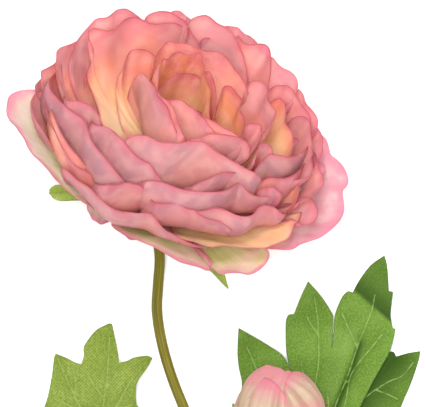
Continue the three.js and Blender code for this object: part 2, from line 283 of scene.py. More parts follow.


# Woven leaf cloth with printed veins, and the painted shade and painted light of its folds
def leafCloth(name, look):
    material, tree, surface, place, seed, vein, rim, under, deep = startCloth(
        name, "seed", "vein", "rim", "outer", "deep")
    sizes = (look["patchSize"], look["smallSize"], look["fleckSize"])
    patches, small, flecks = (useGroup(tree, mottle, place, seed, Size=size) for size in sizes)
    threads = useGroup(tree, weave, place, seed, Threads=look["threads"])
    overlay = useGroup(tree, rimDye, place, seed, Distance=rim, Line=look["lineWidth"])
    dark = fade(tree, threads["Thread"], 0.25, 0.8, start=look["weft"], end=0.0)
    onVein = fade(tree, vein, look["veinWidth"] * 0.5, look["veinWidth"], start=1.0, end=0.0)
    broken = times(tree, onVein, fade(tree, small["Value"], 0.35, 0.6, start=0.25, end=1.0))
    besideVein = fade(tree, vein, 0.0, look["veinShade"], start=look["veinShadeAmount"], end=0.0)
    color = blend(tree, patches["Mask"], shade(look["green"]), shade(look["lightGreen"]))
    color = blend(tree, dark, color, shade(look["darkGreen"]))
    color = tint(tree, color, flecks["Mask"], look["flecks"], look["veinColor"])
    # painted shade of the folds where the mark is above 0, painted light where it is below
    color = blend(tree, clamp(tree, deep), color, shade(look["paintedShadeGreen"]))
    color = blend(tree, clamp(tree, times(tree, deep, -1.0)), color, shade(look["paintedLightGreen"]))
    color = blend(tree, besideVein, color, shade(look["darkGreen"]))
    color = tint(tree, color, broken, look["veinAmount"], look["veinColor"])
    color = tint(tree, color, overlay["Line"], look["line"], look["lineColor"])
    color = tint(tree, color, under, look["under"], look["underColor"])
    ridge = fade(tree, vein, 0.0, look["ridgeWidth"], start=look["veinDepth"], end=0.0)
    relief = maths(tree, "ADD", times(tree, threads["Height"], look["threadDepth"]), ridge)
    makeThin(tree, surface, look, color, color, relief, {
        "Roughness": unevenRoughness(tree, small["Value"], 0.3, 0.7, look, 0.07),
        "Specular IOR Level": 0.15, "Sheen Weight": look["sheen"], "Sheen Roughness": 0.5})
    return material


# Smooth skin of the stem and stalk, with long streaks and a paler cut end
def stemSkin(name, look):
    material, tree, surface, place, seed, cut = startCloth(name, "seed", "cut")
    streaks = useGroup(tree, creases, place, seed, Width=look["streakWidth"])
    patches = useGroup(tree, mottle, place, seed, Size=look["patchSize"])
    color = blend(tree, streaks["Streak"], shade(look["dark"]), shade(look["light"]))
    color = tint(tree, color, patches["Mask"], look["patch"], look["patchColor"])
    color = blend(tree, cut, color, shade(look["cutColor"]))
    skin = put(tree, "BsdfPrincipled", {
        "Base Color": color, "Normal": bump(tree, streaks["Height"], mm * look["streakDepth"]),
        "Roughness": unevenRoughness(tree, patches["Value"], 0.3, 0.7, look, 0.08),
        "Specular IOR Level": 0.2})
    tree.links.new(skin.outputs[0], surface)
    return material


print("node groups made")


def smooth(x):
    x = np.clip(x, 0, 1)
    return x * x * (3 - 2 * x)


def drawn(points):  # from drawing points to mm about the middle of the piece
    return np.array(points, float) - np.array(layout["pieceMiddle"])[:np.shape(points)[-1]]


# The frame of a bloom or bud: its seat, then across, toward the viewer and up its axis
def axisFrame(lay):
    turn, lean = math.radians(lay["turn"]), math.radians(lay["lean"])
    across = np.array([math.cos(turn), -math.sin(turn), 0])
    toward = np.array([-math.sin(lean) * math.sin(turn), -math.sin(lean) * math.cos(turn), math.cos(lean)])
    up = np.array([math.cos(lean) * math.sin(turn), math.cos(lean) * math.cos(turn), math.sin(lean)])
    return drawn(lay["middle"]) - lay["drop"] * up, np.array([across, toward, up])


def alongAxes(axes, across, toward, up):
    seat, directions = axes
    return seat + np.stack(np.broadcast_arrays(across, toward, up), -1) @ directions


bloomAxes = axisFrame(layout["bloom"])
budAxes = axisFrame(layout["bud"])


def summed(gaps):  # how far along a line each of its points is
    return np.concatenate([[0], np.cumsum(gaps)])


def between(t, a, b, start, end):
    return ((end - t) * a + (t - start) * b) / (end - start)


# A smooth line through points, drawn with steps of about one length
def smoothLine(points, step):
    points = np.array(points, float)
    padded = np.concatenate([[2 * points[0] - points[1]], points, [2 * points[-1] - points[-2]]])
    gaps = np.linalg.norm(np.diff(padded, axis=0), axis=1)
    knots = summed(gaps ** 0.5)
    line = []
    for k in range(1, len(padded) - 2):
        count = max(1, round(gaps[k] / step))
        t = np.linspace(knots[k], knots[k + 1], count, endpoint=False)[:, None]
        p, q = padded[k - 1:k + 3], knots[k - 1:k + 3]
        first = [between(t, p[j], p[j + 1], q[j], q[j + 1]) for j in range(3)]
        second = [between(t, first[j], first[j + 1], q[j], q[j + 2]) for j in range(2)]
        line.append(between(t, *second, q[1], q[2]))
    return np.concatenate([*line, points[-1:]])


petalForm = {  # what is the same in every petal
    "rowsCloser": 1.25,  # crowds its rows toward the rim
    "widestAt": 0.62,  # part of its curve from which it has its full width
    "narrowFrom": 0.5,  # part of its rows from which it narrows again
    "leastBend": 6,  # mm, the smallest radius from side to side
    "fullThick": 1.6,  # mm from the rim where the cloth has its full thickness
    "bowlSteps": 90,
    "bowlFrom": 6,  # mm below its top from which the edge says how wide the bowl is
    "edgeDegree": 5,  # of the smooth part of an edge
    "domeLevels": 260,
    "lensRounds": 3,
}

# How the petals of each ring leave the receptacle, bend and wave; a ring or a petal gives what differs
common = {
    "rootRadius": 3, "rootHeight": 0,  # mm, where it starts
    "launch": 8, "arrive": 85,  # degrees, how steeply it rises at its root and at its rim
    "pull": 0.55, "press": 0.42,  # how far it keeps to those, as parts of its span
    "start": 0.16,  # part of its curve left out at the root
    "base": 0.3, "narrow": 0.22,  # part of its width at the root, and the part lost toward the rim
    "flat": 1.6,  # radius from side to side, by its distance from the axis
    "corner": 0.22, "power": 3.6,  # how low its corners are, and how square
    "wave": 1.2, "ripple": 0.8, "freq": 2,  # mm in and out, mm up and down, waves across
    "spiral": 1.5, "curl": 0.3,  # mm that one side stands out, and that the rim does
    "scallop": 0.012, "crease": 0.13, "flutter": 0.22, "swell": 0.6, "ruffle": 0.4,  # sizes of the wave sets
    "fade": 3,  # how fast the waves of a drawn edge are lost below it
    "tone": 0.1, "late": 0, "dusk": 0,  # a hidden petal's tone, colours that come later, and painted shade over a whole petal, partly its own duller mauve
    "down": 0, "grow": 1, "dome": None,  # mm below its drawn height, and the size and curve of a dome
}
rings = {
    "guard": {"launch": 4, "arrive": 22, "pull": 0.5, "press": 0.3, "flat": 2.2, "corner": 0.3, "power": 2.6,
              "wave": 1, "spiral": 0.8, "start": 0.05, "crease": 0.25},
    "outer": {"rootHeight": 3.5, "launch": 2, "arrive": 74, "press": 0.4, "flat": 1.4, "wave": 1.3,
              "spiral": 2.5},
    "tall": {"rootHeight": 5, "launch": 7, "arrive": 86},
    "middle": {"rootHeight": 6, "launch": 5, "arrive": 104, "pull": 0.75},
    "inner": {"rootHeight": 7.5, "launch": 14, "arrive": 90},
    "heart": {"rootHeight": 11, "launch": 28, "arrive": 96, "pull": 0.5, "flat": 1.3, "wave": 0.9,
              "start": 0.1},
    "sepal": {"rootHeight": -1.5, "launch": -3, "arrive": 0, "pull": 0.4, "press": 0.3, "base": 0.8,
              "flat": 3, "corner": 0.55, "power": 1.5, "wave": 0.5, "spiral": 0, "ripple": 0, "start": 0.02,
              "scallop": 0.02, "crease": 0.1, "flutter": 0.2, "curl": 0},
    "bud": {"rootRadius": 2, "rootHeight": 1.5, "arrive": 160, "pull": 0.52, "press": 0.56, "flat": 1,
            "wave": 0.3, "spiral": 0.8, "ripple": 0.4, "start": 0.03, "crease": 0.18, "flutter": 0.25,
            "curl": 0.2},
    "budFront": {"rootRadius": 2, "rootHeight": 1.5, "start": 0.03, "swell": 0.25, "crease": 0.12,
                 "ruffle": 0.15, "dome": [(2, 1.5), (8.5, 3.2), (11.6, 7), (12.4, 12), (10.7, 17), (8.8, 20),
                                          (6.4, 22.4), (3.2, 24), (0, 24.8)]},
    "budSepal": {"rootRadius": 1.5, "launch": 6, "arrive": 84, "pull": 0.7, "press": 0.4, "base": 0.5,
                 "flat": 1.1, "corner": 0.5, "power": 1.6, "wave": 0.3, "spiral": 0, "ripple": 0,
                 "start": 0.02, "crease": 0.1, "flutter": 0.15, "curl": 0.2},
}
waveSets = {  # how many waves run across a petal, and their slowest and fastest rates
    "scallop": (4, 1.5, 5.5), "crease": (5, 2, 7), "flutter": (4, 3, 9),
    "swell": (4, 0.6, 2.4), "drawnCrease": (5, 3, 8), "ruffle": (4, 2, 6),
}


def settings(ring, own):
    return {**common, **rings[ring], **dict(*own)}


def bezier(corners, t):
    a, b, c, d = (1 - t) ** 3, 3 * (1 - t) ** 2 * t, 3 * (1 - t) * t * t, t ** 3
    return [a * p + b * q + c * r + d * s for p, q, r, s in zip(*corners)]


# The bowl that a petal follows, as the corners of a curve in radius and height
def bowlCorners(p, root, top, span):
    launch, arrive = math.radians(p["launch"]), math.radians(p["arrive"])
    return (root, root + p["pull"] * span * np.array([math.cos(launch), math.sin(launch)]),
            top - p["press"] * span * np.array([math.cos(arrive), math.sin(arrive)]), top)


def rowsUp(p, rows):  # from the root to the rim
    fromRim = 1 - np.linspace(0, 1, rows + 1)[:, None]
    return p["start"] + (1 - p["start"]) * (1 - fromRim ** petalForm["rowsCloser"])


# Sums a few sine waves across a petal, drawn once for each petal
def waves(rng, u, t, name):
    count, slow, fast = waveSets[name]
    total = np.zeros(np.broadcast(u, t).shape)
    for _ in range(count):
        rate, drift, phase = rng.uniform(slow, fast), rng.uniform(-1, 1), rng.uniform(0, 2 * math.pi)
        total += np.sin(math.pi * rate * u + 2.5 * drift * t + phase)
    return total / count


# The middle surface of a petal that is drawn by azimuth, reach, height and width
def petalSurface(axes, ring, petal, index, columns, rows):
    azimuth, reach, height, width = petal[:4]
    p = settings(ring, petal[4:])
    rng = np.random.default_rng([len(ring), index, int(azimuth)])
    angle, phase = math.radians(azimuth), 2.4 * index  # no two neighbours wave alike
    root, top = np.array([p["rootRadius"], p["rootHeight"]]), np.array([reach, height])
    span = math.hypot(*(top - root))
    corners = bowlCorners(p, root, top, span)
    even = np.linspace(-1, 1, columns + 1)[None, :]
    u = 1.25 * even - 0.25 * even ** 3  # columns are closer together at the sides
    v = rowsUp(p, rows)
    scallop = p["scallop"] * waves(rng, u, 0 * v, "scallop")
    t = v * (1 - p["corner"] * np.abs(u) ** p["power"] + scallop)
    radiusAt, heightAt = bezier(corners, t)
    radiusOn, heightOn = bezier(corners, t + 0.01)
    length = np.hypot(radiusOn - radiusAt, heightOn - heightAt)
    outward, upward = (radiusOn - radiusAt) / length, (heightOn - heightAt) / length
    spread = smooth(t / petalForm["widestAt"])
    narrowed = smooth((v - petalForm["narrowFrom"]) / (1 - petalForm["narrowFrom"])) ** 1.5
    half = 0.5 * width * (p["base"] + (1 - p["base"]) * spread)
    half = half * (1 - p["narrow"] * narrowed)
    side = u * half
    turn = math.pi * p["freq"] * u
    wave = p["wave"] * v ** 2.2 * (np.sin(turn + phase) + 0.35 * np.sin(2.3 * turn + 1.7 * phase))
    creased = p["crease"] * waves(rng, u, t, "crease") * spread * 2
    flutter = p["flutter"] * waves(rng, u, 0 * t, "flutter") * v ** 7 * 1.6
    out = wave + p["spiral"] * u * spread + creased + flutter + p["curl"] * v ** 14
    lift = p["ripple"] * v ** 3 * np.sin(1.3 * turn + 1.3 * phase + 1)
    radius = radiusAt + upward * out + outward * lift
    bend = np.maximum(radiusAt * p["flat"], petalForm["leastBend"])
    radial = radius - bend * (1 - np.cos(side / bend))
    tangent = bend * np.sin(side / bend)
    points = alongAxes(axes, radial * math.cos(angle) - tangent * math.sin(angle),
                       radial * math.sin(angle) + tangent * math.cos(angle),
                       heightAt - outward * out + upward * lift)
    nearSide = (1 - np.abs(u)) * half * (0.4 + 0.6 * smooth((v - 0.2) / 0.5))
    marks = {"along": t + 0 * u, "rim": np.minimum((1 - v) * span * 1.15, nearSide) + 0 * t,
             "vein": np.abs(side), "tone": np.full(t.shape, p["tone"]),
             "seed": np.full(t.shape, rng.uniform(0, 40))}
    return points, marks, np.stack([side, t * span], -1)


# Places an edge drawn on the picture's grid in the bloom: its turn round the axis, its radius and its height.
# Where no heights are given, the middle has the petal's own and the ends lie lower. With a dome, all heights
# are those where the dome is seen.
def placeEdge(axes, edge, high, p):
    seat, directions = axes
    given = np.array([point[:2] for point in edge], float)
    gaps = summed(np.linalg.norm(np.diff(given, axis=0), axis=1))
    known = {gap: point[2] for gap, point in zip(gaps, edge) if len(point) > 2}
    if not any(0.2 < gap / gaps[-1] < 0.8 for gap in known):
        known[0.5 * gaps[-1]] = high
    for end in (gaps[0], gaps[-1]):
        known.setdefault(end, high - tracing["endDrop"])
    heights = np.interp(gaps, *zip(*sorted(known.items())))
    line = smoothLine(np.column_stack([given, heights * tracing["scale"]]), tracing["step"])
    flat = np.array(tracing["middle"]) - line[:, :2]
    flat = np.column_stack([-flat[:, 0], flat[:, 1]]) / tracing["scale"]
    up = line[:, 2] / tracing["scale"] - p["down"]
    eye = np.array(cameraView["lookAt"])
    wanted = flat - np.array(layout["pieceMiddle"])[:2]

    def seenAt(up):
        spot = wanted
        for _ in range(petalForm["lensRounds"]):  # a higher point is drawn further out by the lens
            offset = spot - seat[:2] - up[:, None] * directions[2, :2]
            across, toward = np.linalg.solve(directions[:2, :2].T, offset.T)
            z = seat[2] + directions[1, 2] * toward + directions[2, 2] * up
            reach = (cameraView["distance"] - z) / (cameraView["distance"] - cameraView["atHeight"])
            spot = eye + (wanted - eye) * reach[:, None]
        return across, toward

    if p["dome"]:
        radii, heights = np.array(p["dome"]).T * [[p["grow"]], [1]]
        levels = np.linspace(1, heights[-1] + 1, petalForm["domeLevels"])
        across, toward = np.array([seenAt(np.full(len(line), level)) for level in levels]).transpose(1, 0, 2)
        apart = np.abs(np.hypot(across, toward) - np.interp(levels, heights, radii)[:, None])
        up = levels[(apart + 100 * (toward < 1)).argmin(0)]  # only the side that faces the viewer
    across, toward = seenAt(up)
    turn = np.unwrap(np.arctan2(toward, across))
    radius = np.hypot(across, toward)
    return (turn, radius, up) if turn[-1] > turn[0] else (turn[::-1], radius[::-1], up[::-1])


# A value along an edge as a smooth part and the waves on it
def evenAndWaves(u, values):
    even = np.polyval(np.polyfit(u[0], values[0], petalForm["edgeDegree"]), u)
    return even, values - even


# The middle surface of a petal that is drawn by its edge: each line from its root follows one bowl
def edgePetal(axes, ring, petal, index, columns, rows):
    high, tone, edge = petal[:3]
    p = settings(ring, petal[3:])
    rng = np.random.default_rng([len(ring), index, len(edge)])
    turn, radius, up = placeEdge(axes, edge, high, p)
    high = high - p["down"]
    length = summed(np.hypot(np.hypot(np.diff(radius), np.diff(up)), np.diff(turn) * radius[1:]))
    u = np.linspace(-1, 1, columns + 1)[None, :]
    at = (u + 1) * 0.5 * length[-1]
    turn, reach, height = (np.interp(at, length, values) for values in (turn, radius, up))
    v = rowsUp(p, rows)
    below = petalForm["bowlFrom"]
    near = smooth((height - high + below) / below) + 0.01
    root = np.array([p["rootRadius"], p["rootHeight"]])
    top = np.array([(reach * near).sum() / near.sum(), high])
    corners = bowlCorners(p, root, top, np.linalg.norm(top - root))
    steps = np.linspace(0, 1, petalForm["bowlSteps"])
    bowl = smoothLine(p["dome"], 0.2).T * [[p["grow"]], [1]] if p["dome"] else bezier(corners, steps)
    bowl = [np.interp(steps, np.linspace(0, 1, len(values)), values) for values in bowl]
    end = np.interp(height, bowl[1], steps)
    end = end if p["dome"] else np.clip(evenAndWaves(u, end)[0], 0.3, 1)
    line = []
    for k, wanted in enumerate((reach, height)):
        path, last = np.interp(v * end, steps, bowl[k]), np.interp(end, steps, bowl[k])
        if p["dome"]:
            line.append(path + (wanted - last) * v * v)
        else:
            even, wave = evenAndWaves(u, (wanted - root[k]) / (last - root[k]))
            line.append(root[k] + (path - root[k]) * (even + wave * v ** p["fade"]))
    radiusAt, heightAt = line
    even, wave = evenAndWaves(u, turn)
    turnAt = turn + 0 * v if p["dome"] else even + wave * v ** p["fade"]
    outward, upward = np.gradient(radiusAt, axis=0), np.gradient(heightAt, axis=0)
    step = np.hypot(outward, upward)
    halfway = 4 * v * (1 - v)
    swell = p["swell"] * waves(rng, u, v, "swell") * halfway
    out = swell + p["crease"] * waves(rng, u, v, "drawnCrease") * halfway
    radiusAt, heightAt = radiusAt + upward / step * out, heightAt - outward / step * out
    points = alongAxes(axes, radiusAt * np.cos(turnAt), radiusAt * np.sin(turnAt), heightAt)
    points[..., 2] += p["ruffle"] * waves(rng, u, 0 * v, "ruffle") * v ** 5
    wide = 0.5 * radiusAt * (turn[0, -1] - turn[0, 0])
    span = np.hypot(reach - root[0], height - root[1])
    rim = np.minimum((1 - v) * span, (1 - np.abs(u)) * wide * (0.3 + 0.7 * smooth(v)))
    marks = {"along": np.hypot(radiusAt - root[0], heightAt - root[1]) / span.max() - p["late"], "rim": rim}
    # the petal's marks, among them its painted shade
    for name, value in (("tone", tone), ("dusk", p["dusk"]), ("seed", rng.uniform(0, 40))):
        marks[name] = np.full(rim.shape, value)
    return points, marks, np.stack([u * wide, v * span], -1)


# Both faces of a thin sheet of cloth round its middle surface, closed at the edge
def twoFaces(points, marks, cloth, thick):
    lifted = points.copy()
    lifted[..., 2] = np.maximum(points[..., 2], 0.5 * thick)
    step = np.cross(np.gradient(points, axis=1), np.gradient(points, axis=0))
    normal = step / np.maximum(np.linalg.norm(step, axis=-1, keepdims=True), 1e-9)
    half = 0.5 * thick * (0.5 + 0.5 * smooth(marks["rim"] / petalForm["fullThick"]))[..., None]
    rows, columns = points.shape[:2]
    front = (lifted + normal * half).reshape(-1, 3)
    back = (lifted - normal * half).reshape(-1, 3)
    grid = np.arange(rows * columns).reshape(rows, columns)
    a, b, c, d = grid[:-1, :-1], grid[:-1, 1:], grid[1:, 1:], grid[1:, :-1]
    faces = np.stack([a, b, c, d], -1).reshape(-1, 4)
    far = rows * columns
    loop = np.concatenate([grid[0, :-1], grid[:-1, -1], grid[-1, :0:-1], grid[:0:-1, 0]])
    after = np.roll(loop, -1)
    edge = np.stack([after, loop, loop + far, after + far], -1)
    sheet = {
        "points": np.concatenate([front, back]),
        "faces": np.concatenate([faces, faces[:, ::-1] + far, edge]).tolist(),
        "slot": 0,
        "cloth": np.tile(cloth.reshape(-1, 2), (2, 1)),
        "marks": {name: np.tile(values.reshape(-1), 2) for name, values in marks.items()},
    }
    sheet["marks"]["outer"] = np.repeat([0.0, 1.0], far)
    return sheet


# One mesh object from any number of sheets, with their marks as attributes
def makePiece(name, sheets, materials, nodes):
    offsets = np.cumsum([0] + [len(sheet["points"]) for sheet in sheets[:-1]])
    points = np.concatenate([sheet["points"] for sheet in sheets])
    points[:, 2] = np.maximum(points[:, 2], 0)
    faces = [[corner + offset for corner in face]
             for sheet, offset in zip(sheets, offsets) for face in sheet["faces"]]
    slots = np.concatenate([np.full(len(sheet["faces"]), sheet["slot"]) for sheet in sheets])
    mesh = bpy.data.meshes.new(name)
    mesh.from_pydata((points * mm).tolist(), [], faces)
    mesh.polygons.foreach_set("material_index", slots)
    for label in sorted({label for sheet in sheets for label in sheet["marks"]}):
        parts = [sheet["marks"].get(label, np.zeros(len(sheet["points"]))) for sheet in sheets]
        values = np.concatenate(parts).astype(np.float32)
        mesh.attributes.new(label, "FLOAT", "POINT").data.foreach_set("value", values)
    corners = np.zeros(len(mesh.loops), np.int32)
    mesh.loops.foreach_get("vertex_index", corners)
    cloth = np.concatenate([sheet["cloth"] for sheet in sheets]).astype(np.float32)
    mesh.uv_layers.new(name="cloth").data.foreach_set("uv", cloth[corners].reshape(-1))
    mesh.shade_smooth()
    mesh.set_sharp_from_angle(angle=math.radians(sharpFold))
    for material in materials:
        mesh.materials.append(material)
    piece = bpy.data.objects.new(name, mesh)
    bpy.context.scene.collection.objects.link(piece)
    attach(piece, "root")
    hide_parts(*nodes)
    print("made", name, "with", len(faces), "faces")


def whorl(axes, ring, piece, part="petals"):
    sheets = []
    for index, petal in enumerate(piece[part]):
        surface = edgePetal if isinstance(petal[2], list) else petalSurface
        sheets.append(twoFaces(*surface(axes, ring, petal, index, *piece["grid"]), piece["thick"]))
    return sheets


# Petals are drawn by the height of the rim, a tone (0 rose to 1 orange) and the edge: right and down on the
# picture's grid, and the height where given. Hidden ones are drawn by azimuth, clockwise from the right, then
# reach from the axis, height of the tip and width. A petal's own settings come last.
guardPiece = {
    "petals": [
        (14, 0.1, [
            (50, 93, 16), (36, 90), (28, 89.5), (20, 90.5), (13, 93), (8.5, 97, 14), (7, 104), (6.3, 111),
            (8, 118), (11, 122.5), (15, 126), (19, 132), (24, 139, 13), (28, 148), (33, 155), (40, 161.5),
            (48, 170), (55, 179, 10), (62, 186), (70, 192.5), (79, 199.5), (90, 206.5, 8), (100, 211.5),
            (108, 216), (115, 219, 8)], {"late": 0.12}),
        (7, 0.9, [
            (118, 214, 9), (113, 220), (111.5, 225, 8), (118, 231), (130, 237), (143, 242.5),
            (155, 247.5, 7), (166, 254), (180, 262, 6), (198, 267), (209, 270.5, 5), (213, 262, 5)]),
        (6, 1.0, [
            (206, 255, 7), (211, 266), (216, 271), (221, 274, 6), (230, 273), (240, 273), (248, 274.7, 6),
            (255, 272.5), (261, 268.5), (267, 262), (269.5, 256, 7), (268, 250), (263, 244, 8)]),
        (14, 0.0, [
            (312, 132, 18), (320, 134), (326, 139, 17), (329, 147), (331, 155), (337, 159.5), (343, 166),
            (347.5, 175, 16), (348.5, 182), (346, 187.5), (343, 190, 14.5), (342.5, 194), (344, 203),
            (344, 211, 12), (341, 219), (335, 226), (328, 232, 11), (320, 237.5), (310, 241),
            (300, 244.5, 10), (293, 249), (285, 250), (277, 249.3), (268, 248.5, 9),
            (260, 242, 9)], {"late": -0.26}),
        (228, 42, 18.5, 36, {"arrive": 55}), (285, 41.5, 19, 38, {"arrive": 55}),
        (343, 44, 17.5, 32, {"arrive": 35}),
        (100, 34, 5, 34, {"arrive": 20}),
    ],
    "grid": (64, 30), "thick": 0.32,
    "look": {
        "cool": [(0.0, "#a2aa40"), (0.4, "#d2d48c"), (0.62, "#e2dec4"), (0.8, "#dccec4"), (0.92, "#d8acb4"),
                 (1.0, "#d892a6")],
        "warm": [(0.0, "#8c9628"), (0.5, "#a3a83c"), (0.72, "#c2c474"), (0.88, "#dcc8a8"), (1.0, "#dc9aa4")],
        "outside": -0.1, "duskyAmount": 0.15, "duskyColor": "#e0c4c6", "pale": 0.3, "paleColor": "#eae2d6",
        "patchSize": 11, "streak": 0.12, "streakColor": "#dccfb4", "band": 0.95, "bandColor": "#e08aa2",
        "bandWidth": 4.0, "line": 0.7, "lineColor": "#c26a86", "lineWidth": 0.4, "uneven": 0.5,
        "creaseWidth": 1.6, "creaseDepth": 0.35, "threads": 2.8, "threadDepth": 0.035, "roughness": 0.62,
        "sheen": 0.05, "glow": 0.4, "glowColor": "#fff8ec", "warmth": 0.5,
    },
}
guardSheets = whorl(bloomAxes, "guard", guardPiece)
makePiece("guardPetals", guardSheets, [petalCloth("guardCloth", guardPiece["look"])], ["guard_petals"])

